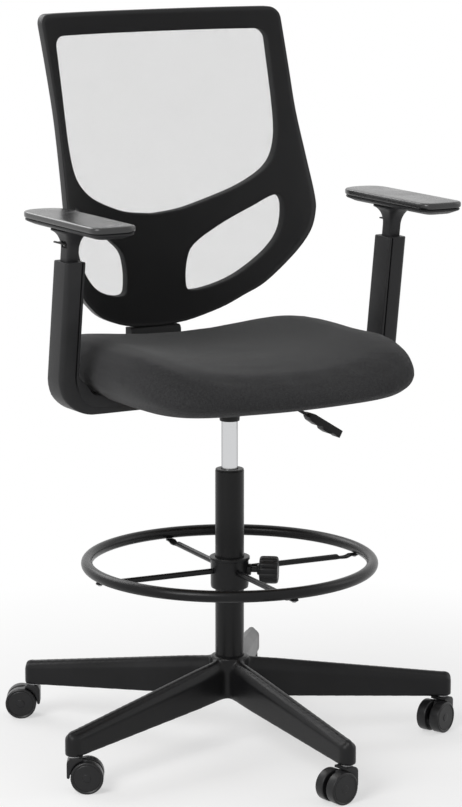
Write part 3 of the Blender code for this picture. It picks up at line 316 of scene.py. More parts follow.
def fill_outline(name, outlines, spacing=None, thick=0.0, edge=0.0):
    """A face or a plate with round rims in the XZ plane, cut into a grid if a spacing is given.

    The first outline is the outer one, and any other is a hole.
    """
    bpy.ops.curve.primitive_bezier_circle_add(radius=0.01, location=(0, 0, 0))
    curve = bpy.context.object
    curve.data.dimensions = "2D"
    curve.data.fill_mode = "BOTH"
    curve.data.extrude = thick / 2 - edge
    curve.data.bevel_depth = edge
    curve.data.bevel_resolution = 3
    curve.data.offset = -edge
    curve.data.splines.clear()
    for index, outline in enumerate(outlines):
        outline = turned_left(outline)[::1 if index == 0 else -1]
        spline = curve.data.splines.new("POLY")
        spline.points.add(len(outline) - 1)
        for point, (x, z) in zip(spline.points, outline):
            point.co = (x, z, 0, 1)
        spline.use_cyclic_u = True
    pick(curve)
    bpy.ops.object.convert(target="MESH")
    obj = bpy.context.object
    obj.rotation_euler = (math.radians(90), 0, 0)
    obj = clean(named(name))
    if spacing:
        cut_into_grid(obj, outlines[0], spacing)
    return obj


def thicken(obj, way, edge=0.0, segments=3):
    """Extrude a flat face one way, and round the rims by a bevel."""
    choose_faces(obj)
    bpy.ops.mesh.extrude_region_move(TRANSFORM_OT_translate={"value": way})
    clean(obj)
    if edge:
        shape(obj, "BEVEL", width=edge, segments=segments, limit_method="ANGLE",
              angle_limit=math.radians(50))
    return smooth(obj)


def slab(name, outline, low, high):
    """An outline of (x, y) filled between two heights."""
    obj = fill_outline(name, [outline])
    obj.data.transform(Matrix.Rotation(math.radians(-90), 4, "X"))
    obj.data.transform(Matrix.Translation((0, 0, low)))
    return thicken(obj, (0, 0, high - low))


def plate(name, outline, low_y, high_y, edge=0.0, segments=3):
    """An outline of (x, z) drawn along Y, with rounded rims."""
    obj = fill_outline(name, [outline])
    obj.data.transform(Matrix.Translation((0, low_y, 0)))
    return thicken(obj, (0, high_y - low_y, 0), edge, segments)


# %% Blocks and bars
def block(name, low, high, edge=0.0, segments=3):
    """A box between two corners with rounded edges."""
    low = Vector(low)
    high = Vector(high)
    bpy.ops.mesh.primitive_cube_add(size=1, location=(low + high) / 2, scale=high - low)
    obj = named(name)
    if edge:
        shape(obj, "BEVEL", width=edge, segments=segments)
    return smooth(obj)


def bar(name, start, end, radius, sides=24, edge=0.0):
    """A round bar between two points."""
    start = Vector(start)
    run = Vector(end) - start
    bpy.ops.mesh.primitive_cylinder_add(vertices=sides, radius=radius, depth=run.length)
    obj = bpy.context.object
    obj.rotation_mode = "QUATERNION"
    obj.rotation_quaternion = Vector((0, 0, 1)).rotation_difference(run)
    obj.location = start + run / 2
    obj = named(name)
    if edge:
        shape(obj, "BEVEL", width=edge, segments=2, limit_method="ANGLE")
    return smooth(obj)


def join_solids(name, *objects):
    """Join pieces into one object, each staying a closed shell."""
    pick(*objects)
    bpy.ops.object.join()
    return named(name)


# %% [markdown]
# A shader is easier to read as arithmetic than as a drawing of nodes. `Number` wraps a socket
# and gives it Python's operators: each one adds a Math node. `Finish` starts a material with a
# Principled shader, and its `node` method adds any other node from its type, its settings and
# the values or links of its sockets.

# %% Shader arithmetic
class Number:
    """A value between two nodes, on which Python's operators work."""

    def __init__(self, finish, socket):
        self.finish = finish
        self.socket = socket

    def math(self, operation, *values):
        sockets = dict(enumerate(values))
        return self.finish.node("ShaderNodeMath", {"operation": operation}, sockets)[0]

    def __add__(self, other):
        return self.math("ADD", self, other)

    def __sub__(self, other):
        return self.math("SUBTRACT", self, other)

    def __rsub__(self, other):
        return self.math("SUBTRACT", other, self)

    def __mul__(self, other):
        return self.math("MULTIPLY", self, other)

    def __pow__(self, other):
        return self.math("POWER", self, other)

    __radd__ = __add__
    __rmul__ = __mul__

    def sine(self):
        return self.math("SINE", self)

    def absolute(self):
        return self.math("ABSOLUTE", self)

    def over(self, other):
        return self.math("GREATER_THAN", self, other)

    def larger(self, other):
        return self.math("MAXIMUM", self, other)

    def ramp(self, low, high, out_low=0.0, out_high=1.0):
        """This value from low to high, spread over out_low to out_high and held there."""
        sockets = {"Value": self, "From Min": low, "From Max": high,
                   "To Min": out_low, "To Max": out_high}
        return self.finish.node("ShaderNodeMapRange", {"clamp": True}, sockets)[0]


# %% Materials from nodes
class Finish:
    """A material with one Principled shader."""

    def __init__(self, name, colour, roughness, **sockets):
        self.material = bpy.data.materials.new(name)
        self.material.use_nodes = True
        self.tree = self.material.node_tree
        self.shader = self.tree.nodes["Principled BSDF"]
        self.set("Base Color", (*colour, 1.0))
        self.set("Roughness", roughness)
        for socket, value in sockets.items():
            self.set(socket.replace("_", " "), value)

    def connect(self, socket, value):
        """Link a value that comes from a node, or set a plain one."""
        if isinstance(value, Number):
            self.tree.links.new(value.socket, socket)
        else:
            socket.default_value = value

    def set(self, name, value):
        self.connect(self.shader.inputs[name], value)

    def node(self, kind, settings=None, sockets=None):
        """Any node, from its type, its settings and its sockets. Returns its outputs."""
        made = self.tree.nodes.new(kind)
        for key, value in (settings or {}).items():
            setattr(made, key, value)
        for key, value in (sockets or {}).items():
            self.connect(made.inputs[key], value)
        return [Number(self, output) for output in made.outputs]

    def place(self, source="Object"):
        """A point's place, on the object's own axes or on its UV map."""
        outputs = ("Generated", "Normal", "UV", "Object")
        return self.node("ShaderNodeTexCoord")[outputs.index(source)]

    def stretched(self, scale, source="Object"):
        sockets = {"Vector": self.place(source), "Scale": scale}
        return self.node("ShaderNodeMapping", None, sockets)[0]

    def noise(self, scale, detail=2.0, rough=0.5, where=None, distortion=0.0):
        sockets = {"Vector": where or self.place(), "Scale": scale, "Detail": detail,
                   "Roughness": rough, "Distortion": distortion}
        return self.node("ShaderNodeTexNoise", None, sockets)[0]

    def split(self, vector):
        return self.node("ShaderNodeSeparateXYZ", None, {0: vector})

    def mix(self, factor, first, second):
        """A colour between two colours."""
        sockets = {0: factor, 6: (*first, 1.0) if isinstance(first, tuple) else first,
                   7: (*second, 1.0) if isinstance(second, tuple) else second}
        return self.node("ShaderNodeMix", {"data_type": "RGBA"}, sockets)[2]

    def bump(self, height, distance, strength=1.0):
        """Raise the surface by a height of 0 to 1 times a distance in metres."""
        sockets = {"Height": height, "Distance": distance, "Strength": strength}
        self.set("Normal", self.node("ShaderNodeBump", None, sockets)[0])


# %% [markdown]
# The camera comes first, so that every test picture shows the chair from the same place: from a
# standing person's height, in front and a little to the chair's right, with a long lens that
# keeps upright lines nearly upright. A camera looks along its own -Z axis, which
# `to_track_quat` turns towards a point on the column.

# %% Camera
AXIS_Y = 0.030
look_at = Vector((0.0, AXIS_Y, 0.593))
azimuth = math.radians(-30)
elevation = math.radians(10.83)
distance = 5.450
back_off = Vector((math.sin(azimuth) * math.cos(elevation),
                   -math.cos(azimuth) * math.cos(elevation), math.sin(elevation)))
bpy.ops.object.camera_add(location=look_at + back_off * distance)
camera = bpy.context.object
camera.rotation_euler = (-back_off).to_track_quat("-Z", "Y").to_euler()
camera.data.lens = 141.5
camera.data.sensor_width = 36.0
camera.data.shift_x = 0.0017
camera.data.shift_y = 0.0061
bpy.context.scene.camera = camera
print("camera at", tuple(round(v, 3) for v in camera.location))

# %% [markdown]
# Black plastic shows its form almost only by what it mirrors, so the studio is simple: a
# white room, one broad soft lamp high at the left, a weaker one at the right and one behind
# that runs a line of light along the top edges. The world gives an even grey light to matt
# surfaces, and is white where it is seen or mirrored.

# %% Lamps and world
def soft_lamp(name, place, aim, size, power):
    bpy.ops.object.light_add(type="AREA", location=place)
    lamp = bpy.context.object
    lamp.name = name
    lamp.data.shape = "RECTANGLE"
    lamp.data.size, lamp.data.size_y = size
    lamp.data.energy = power
    lamp.rotation_euler = (Vector(aim) - Vector(place)).to_track_quat("-Z", "Y").to_euler()


ROOM_LIGHT = 0.42
soft_lamp("left_lamp", (-3.2, -1.6, 2.9), (0, 0, 0.7), (2.0, 2.0), 95)
soft_lamp("right_lamp", (3.4, -1.2, 2.2), (0, 0, 0.6), (1.6, 2.2), 14)
soft_lamp("rear_lamp", (-0.8, 3.4, 3.0), (0, 0, 0.7), (3.0, 1.6), 50)

world = bpy.data.worlds.new("white_room")
bpy.context.scene.world = world
world.use_nodes = True
room = world.node_tree
room.nodes.clear()
room_rays = room.nodes.new("ShaderNodeLightPath")
looked_at = room_rays.outputs["Is Camera Ray"]
for kind in ("Is Glossy Ray", "Is Transmission Ray"):
    either = room.nodes.new("ShaderNodeMath")
    either.operation = "MAXIMUM"
    room.links.new(looked_at, either.inputs[0])
    room.links.new(room_rays.outputs[kind], either.inputs[1])
    looked_at = either.outputs[0]
strength = room.nodes.new("ShaderNodeMapRange")
strength.inputs["To Min"].default_value = ROOM_LIGHT
strength.inputs["To Max"].default_value = 1.0
room.links.new(looked_at, strength.inputs["Value"])
glow = room.nodes.new("ShaderNodeBackground")
glow.inputs["Color"].default_value = (1.0, 1.0, 1.0, 1.0)
room.links.new(strength.outputs[0], glow.inputs["Strength"])
room_output = room.nodes.new("ShaderNodeOutputWorld")
room.links.new(glow.outputs[0], room_output.inputs["Surface"])
bpy.context.scene.view_settings.view_transform = "Standard"
print("studio lit")

# %% [markdown]
# The floor is a pale disc. Near the chair the camera sees half a matt surface, which takes the
# chair's shadow, and half the room's white. Further out a mask on the disc's own coordinates
# makes it all white, so that no edge shows.

# %% Floor
bpy.ops.mesh.primitive_circle_add(vertices=96, radius=9.0, fill_type="NGON", location=(0, 0, 0))
floor = named("floor")
paper = Finish("floor_paper", (0.93, 0.93, 0.93), 1.0, Specular_IOR_Level=0.0)
across, along, _ = paper.split(paper.place())
from_column = (across * across + (along - AXIS_Y) ** 2.0) ** 0.5
white = paper.node("ShaderNodeEmission", None, {"Color": (1, 1, 1, 1), "Strength": 1.0})[0]
camera_ray, _, _, glossy_ray, _, _, transmitted_ray, *_ = paper.node("ShaderNodeLightPath")
looked_at = camera_ray.larger(glossy_ray).larger(transmitted_ray)
blend = paper.tree.nodes.new("ShaderNodeMixShader")
paper.connect(blend.inputs[0], looked_at * from_column.ramp(0.35, 1.2, 0.5, 1.0))
paper.tree.links.new(paper.shader.outputs[0], blend.inputs[1])
paper.tree.links.new(white.socket, blend.inputs[2])
paper.tree.links.new(blend.outputs[0], paper.tree.nodes["Material Output"].inputs["Surface"])
floor.data.materials.append(paper.material)
print("floor laid")

# %% [markdown]
# Glass-filled nylon is what the base, back frame and arms are moulded from. Its mould is
# etched, so the surface is a fine grain of shallow pits about half a millimetre across that
# breaks up every highlight. Handling polishes it unevenly, which a slow noise on the roughness
# gives. The same recipe with other numbers serves the castors and the lever.

# %% Moulded plastics
def moulded(name, colour, roughness, grain, depth, shine):
    """Etched plastic: grain is the pits' fineness and depth their depth in metres."""
    finish = Finish(name, colour, roughness, Specular_IOR_Level=shine)
    pits = finish.noise(grain, 2.0, 0.55)
    cloud = finish.noise(9.0, 3.0, 0.6)
    finish.set("Base Color", finish.mix(cloud.ramp(0.35, 0.70), colour,
                                        tuple(min(1.0, 1.35 * c + 0.001) for c in colour)))
    finish.set("Roughness", cloud.ramp(0.3, 0.7, roughness - 0.05, roughness + 0.07)
               + pits.ramp(0.35, 0.65, -0.03, 0.03))
    finish.bump(pits, depth)
    return finish.material


def frame_moulding():
    """The back frame's plastic: dull in front, where the net is drawn over it. Its rims that turn
    away are glossier and painted lighter, a painted highlight for their lit edges.
    """
    front = (0.0245, 0.0245, 0.0251)
    # a lighter colour for the turned-away rims: a painted highlight
    painted_rim_highlight = (0.0290, 0.0290, 0.0298)
    finish = Finish("frame_nylon", front, 0.62, Specular_IOR_Level=0.22)
    rim_gloss_and_painted_light = finish.node("ShaderNodeAttribute", {"attribute_name": "rim_gloss_and_painted_light"})[2]
    pits = finish.noise(1700.0, 2.0, 0.55)
    # the rim mask paints the turned-away rims lighter, a painted highlight, and also makes them
    # glossier
    finish.set("Base Color", finish.mix(rim_gloss_and_painted_light.ramp(0.05, 0.75), front, painted_rim_highlight))
    finish.set("Roughness", rim_gloss_and_painted_light.ramp(0.05, 0.75, 0.80, 0.44) + pits.ramp(0.35, 0.65, -0.03, 0.03))
    finish.bump(pits, 0.00012)
    return finish.material


base_nylon = moulded("base_nylon", (0.0080, 0.0080, 0.0085), 0.33, 1500.0, 0.00008, 0.18)
frame_nylon = frame_moulding()
arm_nylon = moulded("arm_nylon", (0.0170, 0.0170, 0.0178), 0.44, 1700.0, 0.00010, 0.20)
castor_nylon = moulded("castor_nylon", (0.0085, 0.0085, 0.0091), 0.32, 1900.0, 0.00005, 0.30)
lever_nylon = moulded("lever_nylon", (0.0100, 0.0100, 0.0105), 0.42, 1800.0, 0.00006, 0.16)
print("plastics made")

# %% [markdown]
# The column and foot ring are steel under a black powder coat. Powder melts into a skin with
# a soft orange-peel ripple, a few millimetres from crest to crest, over a finer grit.

# %% Powder coat and bright metals
def powder_coat(name, colour, roughness):
    finish = Finish(name, colour, roughness, Specular_IOR_Level=0.22)
    peel = finish.noise(420.0, 2.0, 0.5)
    grit = finish.noise(1900.0, 1.0, 0.5)
    finish.set("Roughness", grit.ramp(0.3, 0.7, roughness - 0.05, roughness + 0.06))
    finish.bump(peel * 0.6 + grit * 0.4, 0.00016)
    return finish.material


def bright_metal(name, colour, roughness, rings, spread, edge=(1.0, 1.0, 1.0)):
    """Metal with the faint turned rings that polishing leaves round its axis."""
    finish = Finish(name, colour, roughness, Metallic=1.0, Specular_Tint=(*edge, 1.0))
    height = finish.split(finish.place())[2]
    turned = (height * rings).sine()
    cloud = finish.noise(30.0, 3.0, 0.6)
    finish.set("Roughness", cloud.ramp(0.3, 0.7, roughness - spread, roughness + spread)
               + turned * (spread * 0.3))
    finish.bump(turned * 0.5 + finish.noise(260.0, 1.0), 0.00001)
    return finish.material


COAT_BLACK = (0.0045, 0.0045, 0.0049)
column_paint = powder_coat("column_paint", COAT_BLACK, 0.30)
ring_paint = powder_coat("ring_paint", COAT_BLACK, 0.28)
pan_paint = powder_coat("pan_paint", (0.0080, 0.0080, 0.0085), 0.45)
polished_chrome = bright_metal("polished_chrome", (0.63, 0.635, 0.645), 0.14, 9000.0, 0.02,
                               (0.35, 0.35, 0.36))
zinc = bright_metal("zinc", (0.50, 0.50, 0.51), 0.34, 4000.0, 0.06)
print("metals made")

# %% [markdown]
# The seat cover is a plain weave of charcoal yarns of slightly different greys. Close to, the
# weave shows as a grid of small humps; from a step back only the speckle of the yarns is left.
# The pattern runs on the cover's own UV map, which is laid out in metres, so that the threads
# keep their size where the cloth turns over an edge. Sheen stands for the fibre ends.

# %% Woven cover
YARN_PITCH = 0.0011


def woven_cover():
    dark = (0.0200, 0.0200, 0.0208)
    light = (0.0560, 0.0560, 0.0576)
    finish = Finish("woven_cover", dark, 0.92, Specular_IOR_Level=0.10, Sheen_Weight=0.17,
                    Sheen_Roughness=0.30)
    across, along, _ = finish.split(finish.place("UV"))
    per_yarn = math.pi / YARN_PITCH
    warp = (across * per_yarn).sine()
    weft = (along * per_yarn).sine()
    humps = (warp * weft).absolute()
    yarn_a = finish.noise(1.0, 2.0, 0.6, finish.stretched((900.0, 130.0, 1.0), "UV"))
    yarn_b = finish.noise(1.0, 2.0, 0.6, finish.stretched((130.0, 900.0, 1.0), "UV"))
    speck = finish.noise(520.0, 3.0, 0.7)
    cloud = finish.noise(5.0, 3.0, 0.55)
    # the humps lighten the yarn crowns in the colour, so the grooves between the yarns get a
    # painted shade
    blend = (yarn_a * 0.45 + yarn_b * 0.45 + speck * 0.5 + humps * 0.12 + cloud * 0.25)
    finish.set("Base Color", finish.mix(blend.ramp(0.66, 1.12), dark, light))
    finish.bump(humps * 0.7 + speck * 0.3, 0.00035)
    return finish.material


# %% [markdown]
# The back is covered by a knitted net so open that it only tints what lies behind it. Its
# threads are drawn by an alpha mask: two sets of slanted lines that cross, so that the holes
# are small diamonds. Where the net lies on the frame, black on black, it only dulls the frame.

# %% Knitted net
THREAD_PITCH = 0.0016
THREAD_SLANT = 0.58
THREAD_COVER = 0.235


def knitted_net():
    finish = Finish("knitted_net", (0.0090, 0.0090, 0.0094), 0.85, Specular_IOR_Level=0.08)
    across, _, up = finish.split(finish.place())
    per_thread = math.pi / THREAD_PITCH
    wobble = finish.noise(60.0, 2.0) * 0.5
    first = ((across + up * THREAD_SLANT) * per_thread + wobble).sine().absolute()
    second = ((across - up * THREAD_SLANT) * per_thread + wobble).sine().absolute()
    threads = (THREAD_COVER - first).over(0.0).larger((THREAD_COVER - second).over(0.0))
    finish.set("Alpha", threads)
    return finish.material


# %% [markdown]
# The arm pads are polyurethane foam moulded with its own skin: grey, leathery, with a soft
# shine and a fine random grain. The seat board is birch plywood, whose grain runs in long
# streaks. Both are noises stretched to the right proportions.

# %% Pad skin and plywood
def pad_skin():
    colour = (0.0120, 0.0120, 0.0124)
    finish = Finish("pad_skin", colour, 0.24, Specular_IOR_Level=0.6)
    grain = finish.noise(1100.0, 2.0, 0.6)
    cloud = finish.noise(14.0, 3.0, 0.6)
    finish.set("Base Color", finish.mix(cloud.ramp(0.3, 0.7), colour, (0.0180, 0.0180, 0.0185)))
    finish.set("Roughness", cloud.ramp(0.3, 0.7, 0.18, 0.28) + grain.ramp(0.3, 0.7, -0.03, 0.03))
    finish.bump(grain, 0.00012)
    return finish.material


def birch():
    finish = Finish("birch", (0.52, 0.38, 0.24), 0.62)
    streaks = finish.noise(1.0, 4.0, 0.6, finish.stretched((260.0, 9.0, 260.0)), 0.4)
    finish.set("Base Color", finish.mix(streaks.ramp(0.35, 0.7), (0.58, 0.43, 0.28),
                                        (0.40, 0.27, 0.16)))
    finish.bump(streaks, 0.00012)
    return finish.material


cover_cloth = woven_cover()
back_net = knitted_net()
soft_skin = pad_skin()
plywood = birch()
print("soft finishes made")

# %% [markdown]
# The star base is one moulding: five arms that rise towards a hub. Each arm is a wall with a
# narrow ridge along its top and sloped shoulders below it, and its outer end is a rounded post
# over the castor. An arm is drawn as a row of cross-sections, wide and tall at the hub and
# low at the tip, which are bridged. The last ones follow a half circle to close the end.

# %% One arm of the base
LEGS = 5
LEG_LOW = 0.0612
LEG_TOP = 0.1032
LEG_RISE_UNDER = 0.023
LEG_RISE_OVER = 0.052
LEG_START = 0.012
STEM_REACH = 0.386
HALF_LEG = 0.015


def leg_turn(index):
    """Direction of an arm of the base, from the first one at the front."""
    return math.radians(-90 + 72 * index)


def leg_section(reach, low, high, half, drop=0.0):
    """Outline of an arm across its length: flat bottom, upright sides, shoulders and ridge."""
    shoulder = high - (high - low) * 0.27 - drop / 2
    top = high - drop
    side = [(-half, low, 0.003), (half, low, 0.003), (half, shoulder, 0.006),
            (half * 0.62, top - 0.0052, 0.0022), (half * 0.40, top - 0.0046, 0.0018),
            (half * 0.34, top, 0.0022), (-half * 0.34, top, 0.0022),
            (-half * 0.40, top - 0.0046, 0.0018), (-half * 0.62, top - 0.0052, 0.0022),
            (-half, shoulder, 0.006)]
    return [(reach, y, z) for y, z in rounded(side, 0.003, 3, closed=True)]


sections = []
for share in (0.0, 0.15, 0.3, 0.45, 0.6, 0.75, 0.88, 1.0):
    reach = LEG_START + (STEM_REACH - LEG_START) * share
    sections.append(leg_section(reach, LEG_LOW + LEG_RISE_UNDER * (1 - share),
                                LEG_TOP + LEG_RISE_OVER * (1 - share), HALF_LEG))
for degrees in (15, 30, 45, 58, 70, 80, 86):
    turn = math.radians(degrees)
    sections.append(leg_section(STEM_REACH + HALF_LEG * math.sin(turn), LEG_LOW, LEG_TOP,
                                HALF_LEG * math.cos(turn), 0.009 * math.sin(turn) ** 4))
arm_of_base = bridge("arm_of_base", sections)
print("one arm:", len(arm_of_base.data.polygons), "faces")

# %% [markdown]
# Arms and hub are joined by Booleans and then remeshed to one even skin of small voxels. A
# smoothing pass rounds every edge a little, and a stronger one near the hub melts the corners
# between arms and hub into the soft fillets that a moulding has. The sockets are cut last, so
# that they stay crisp.

# %% Star base
VOXEL = 0.0021
MELT_REACH = 0.085
MELT_FADE = 0.035
HUB_RIM = 0.152
STEM_BORE = 0.0058
hub_profile = rounded([(0.0, 0.0842), (0.0330, 0.0842, 0.004), (0.0330, 0.1570, 0.003),
                       (0.0, 0.1570)], 0.003)
star = lathe("star_base_moulding", hub_profile, 72)
for index in range(LEGS):
    turn = Matrix.Rotation(leg_turn(index), 4, "Z")
    cut_by(star, copy_of(arm_of_base, "arm_copy", turn), operation="UNION")
discard(arm_of_base)
star.data.transform(Matrix.Translation((0, AXIS_Y, 0)))
shape(star, "REMESH", mode="VOXEL", voxel_size=VOXEL)
near_hub = star.vertex_groups.new(name="near_hub")
for vert in star.data.vertices:
    away = math.hypot(vert.co.x, vert.co.y - AXIS_Y)
    weight = max(0.0, min(1.0, (MELT_REACH - away) / MELT_FADE))
    if vert.co.z > HUB_RIM:
        weight *= 0.25
    near_hub.add([vert.index], weight, "REPLACE")
shape(star, "SMOOTH", factor=0.5, iterations=28, vertex_group="near_hub")
shape(star, "SMOOTH", factor=0.5, iterations=4)
sockets = lathe("sockets", [(0.0, 0.02), (0.0160, 0.02), (0.0160, 0.0882), (0.0253, 0.0882),
                            (0.0253, 0.20), (0.0, 0.20)], 72, (0, AXIS_Y))
cut_by(star, sockets)
stem_places = [Vector((STEM_REACH * math.cos(turn), AXIS_Y + STEM_REACH * math.sin(turn), 0))
               for turn in map(leg_turn, range(LEGS))]
stem_holes = [bar(f"hole_{i}", place + Vector((0, 0, 0.05)), place + Vector((0, 0, 0.0955)),
                  STEM_BORE) for i, place in enumerate(stem_places)]
cut_by(star, join_solids("stem_holes", *stem_holes))
smooth(star, 50)
dress(star, base_nylon, "black_nylon", "base", "star_base")

# %% [markdown]
# A castor is a hooded twin wheel. The hood is a curved shield with a web between the wheels,
# drawn from the side as an outline, extruded across and bevelled. The wheel is turned: a
# rounded tread, a face with a shallow ring near its rim and a low cap in the middle.
# One hood and one wheel are modelled at the origin, then copied to the five stems.

# %% Castor hood and wheel
WHEEL_R = 0.0275
WEB_HALF = 0.0035
WHEEL_INNER = 0.0045
WHEEL_W = 0.0185
TRAIL = 0.022
HOOD_TOP = 0.0589 - WHEEL_R
HOOD_REACH = 0.034
AXLE_BORE = 0.0033

shield_inner = WHEEL_R + 0.0013
rear_x = TRAIL - 0.014
first = math.degrees(math.acos(rear_x / shield_inner))
nose = (HOOD_REACH - shield_inner) / 2
shield = circle_points(shield_inner, first, 0, 20)
shield += circle_points(nose, 180, 360, 8, (shield_inner + nose, 0.0))[1:]
shield += circle_points(0.009, 0, 90, 6, (HOOD_REACH - 0.009, HOOD_TOP - 0.009))
shield += [(rear_x, HOOD_TOP)]
hood = plate("hood", shield, -0.0150, 0.0150, 0.0024)
web_shape = circle_points(0.0090, 120, 300, 12)
web_shape += [(shield_inner + 0.002, 0.002), (shield_inner + 0.002, HOOD_TOP - 0.010),
              (TRAIL, HOOD_TOP - 0.003), (0.0, WHEEL_R - 0.002)]
web = plate("web", web_shape, -WEB_HALF, WEB_HALF, 0.0006, 1)
cut_by(hood, web, operation="UNION")
cut_by(hood, bar("axle_bore", (0, -0.03, 0), (0, 0.03, 0), AXLE_BORE),
       bar("stem_pocket", (TRAIL, 0, HOOD_TOP - 0.0045), (TRAIL, 0, HOOD_TOP + 0.01), STEM_BORE))
smooth(hood, 35)

face = WHEEL_INNER + WHEEL_W
bore_end = WHEEL_INNER + 0.0143
wheel_profile = rounded([
    (0.0, face - 0.0004), (0.0062, face - 0.0006, 0.0008), (0.0070, face - 0.0016, 0.0006),
    (0.0215, face - 0.0010, 0.0008), (0.0226, face - 0.0018, 0.0005),
    (0.0238, face - 0.0008, 0.0006), (0.0250, face, 0.0008), (WHEEL_R, face - 0.0012, 0.0016),
    (WHEEL_R, WHEEL_INNER, 0.0022), (0.0190, WHEEL_INNER, 0.0008),
    (0.0180, WHEEL_INNER + 0.003, 0.001), (0.0080, WHEEL_INNER + 0.003, 0.001),
    (0.0070, WHEEL_INNER, 0.0006), (AXLE_BORE, WHEEL_INNER), (AXLE_BORE, bore_end),
    (0.0, bore_end)], 0.0008, 4)
wheel = lathe("wheel", wheel_profile, 72)
print("hood", len(hood.data.polygons), "wheel", len(wheel.data.polygons), "faces")

# %% Five castors
trailing = (-171, -157, 150, 150, -30)
for number, (place, heading) in enumerate(zip(stem_places, trailing), 1):
    pivot = Matrix.Translation(place) @ Matrix.Rotation(math.radians(heading + 180), 4, "Z")
    axle = pivot @ Matrix.Translation((-TRAIL, 0, WHEEL_R))
    dress(copy_of(hood, f"castor_{number}_hood", axle), castor_nylon, "black_nylon",
          f"castor_{number}", f"castor_hood_{number}")
    for side, turn in (("left", -90), ("right", 90)):
        lay = axle @ Matrix.Rotation(math.radians(turn), 4, "X")
        dress(copy_of(wheel, f"castor_{number}_wheel_{side}", lay), castor_nylon,
              "castor_nylon", f"wheel_{number}_{side}", f"castor_wheel_{number}_{side}")
    paint_nodes(zinc, f"castor_stem_{number}", f"castor_axle_{number}")
discard(hood, wheel)

# %% [markdown]
# The column is three turned pieces: a powder-coated tube, the plastic bushing whose lip shows
# at its mouth, and the chromed cylinder that slides in it. Each is an outline of radius and
# height with small edge radii, turned on the column's axis.

# %% Column
AXIS = (0.0, AXIS_Y)
tube_low, tube_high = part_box("column_tube")
tube_r = 0.0250
tube = lathe("column_tube_coated", rounded([
    (0.0053, tube_low.z), (tube_r, tube_low.z, 0.001), (tube_r, tube_high.z, 0.0008),
    (0.0232, tube_high.z, 0.0006), (0.0230, tube_low.z + 0.004), (0.0053, tube_low.z + 0.004),
    (0.0053, tube_low.z)], 0.0008, 3), 96, AXIS)
dress(tube, column_paint, "black_paint", "base", "column_tube")
lip_low, lip_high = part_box("column_bushing")
lip = lathe("column_bushing_lip", rounded([
    (0.0145, lip_low.z), (0.0145, lip_high.z, 0.0012), (0.0243, lip_high.z, 0.0016),
    (0.0247, tube_high.z + GAP, 0.0004), (0.0226, tube_high.z + GAP),
    (0.0226, lip_low.z), (0.0145, lip_low.z)], 0.0005, 4), 96, AXIS)
dress(lip, base_nylon, "black_nylon", "base", "column_bushing")
rod_low, rod_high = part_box("gas_cylinder")
SOCKET_LOW = 0.5720
lift = lathe("gas_cylinder_chromed", rounded([
    (0.0043, rod_high.z), (0.0130, rod_high.z, 0.0006), (0.0140, SOCKET_LOW + 0.002),
    (0.0140, rod_low.z, 0.0006), (0.0122, rod_low.z), (0.0122, SOCKET_LOW - 0.019),
    (0.0043, SOCKET_LOW - 0.019), (0.0043, rod_high.z)], 0.0006, 3), 96, AXIS)
dress(lift, polished_chrome, "chrome", "lift", "gas_cylinder")
paint_nodes(zinc, "piston_rod", "retaining_clip", "thrust_bearing", "valve_pin")

# %% [markdown]
# The foot ring is a bent tube welded closed. Its four spokes are rods whose outer ends are
# pressed flat, dipped and screwed under the ring. A torus makes the ring. A spoke is bridged
# from cross-sections, so that it can change from round to flat on the way.

# %% Foot ring and spokes
ring_low, ring_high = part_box("foot_ring")
RING_Z = (ring_low.z + ring_high.z) / 2
RING_R = 0.2475
RING_TUBE = 0.010
bpy.ops.mesh.primitive_torus_add(major_segments=180, minor_segments=28, major_radius=RING_R,
                                 minor_radius=RING_TUBE, location=(0, AXIS_Y, RING_Z))
ring = smooth(named("foot_ring_tube"))
dress(ring, ring_paint, "black_paint", "foot_rest", "foot_ring")

TAB_TOP = RING_Z - RING_TUBE - GAP
SPOKE_Z = TAB_TOP - 0.003
flat_z = TAB_TOP - 0.0020
spoke_rings = []
for reach, height, half_wide, half_thick, square in (
        (0.0342, SPOKE_Z, 0.0050, 0.0050, 2.0), (0.1200, SPOKE_Z, 0.0050, 0.0050, 2.0),
        (0.2080, SPOKE_Z, 0.0050, 0.0050, 2.0), (0.2110, SPOKE_Z - 0.0002, 0.0052, 0.0046, 2.1),
        (0.2145, SPOKE_Z - 0.0014, 0.0060, 0.0026, 2.8),
        (0.2185, SPOKE_Z - 0.0020, 0.0068, 0.0020, 4.0),
        (0.2265, SPOKE_Z - 0.0020, 0.0070, 0.0019, 5.0),
        (0.2310, SPOKE_Z - 0.0010, 0.0070, 0.0019, 5.0), (0.2355, flat_z, 0.0070, 0.0019, 5.0),
        (0.2470, flat_z, 0.0070, 0.0019, 5.0), (0.2500, flat_z, 0.0060, 0.0018, 4.0),
        (0.2518, flat_z, 0.0036, 0.0016, 3.0)):
    spoke_rings.append([(reach, y, height + z)
                        for y, z in squared_oval(half_wide, half_thick, square, 24)])
spoke = bridge("spoke", spoke_rings)
screw = lathe("spoke_screw", rounded([
    (0.0, flat_z - 0.0044), (0.0030, flat_z - 0.0042, 0.0008), (0.0046, flat_z - 0.0024, 0.0010),
    (0.0046, flat_z - 0.0016), (0.0, flat_z - 0.0016)], 0.0006, 4), 28, (0.2455, 0.0))
SPOKE_TURN = -4
for number in range(1, 5):
    turn = Matrix.Translation((0, AXIS_Y, 0)) @ Matrix.Rotation(
        math.radians(SPOKE_TURN + 90 * (number - 1)), 4, "Z")
    dress(copy_of(spoke, f"foot_spoke_rod_{number}", turn), ring_paint, "black_paint",
          "foot_rest", f"foot_spoke_{number}")
    dress(copy_of(screw, f"foot_spoke_screw_{number}", turn), zinc, "zinc_steel", "foot_rest")
discard(spoke, screw)

# %% [markdown]
# A plastic collar carries the spokes and slides on the column. It has a raised rim at its top
# and a boss where the clamp screw goes in. The knob is a fluted drum: rings whose radius dips
# twelve times round are bridged along its axis, and their size falls off at both ends.

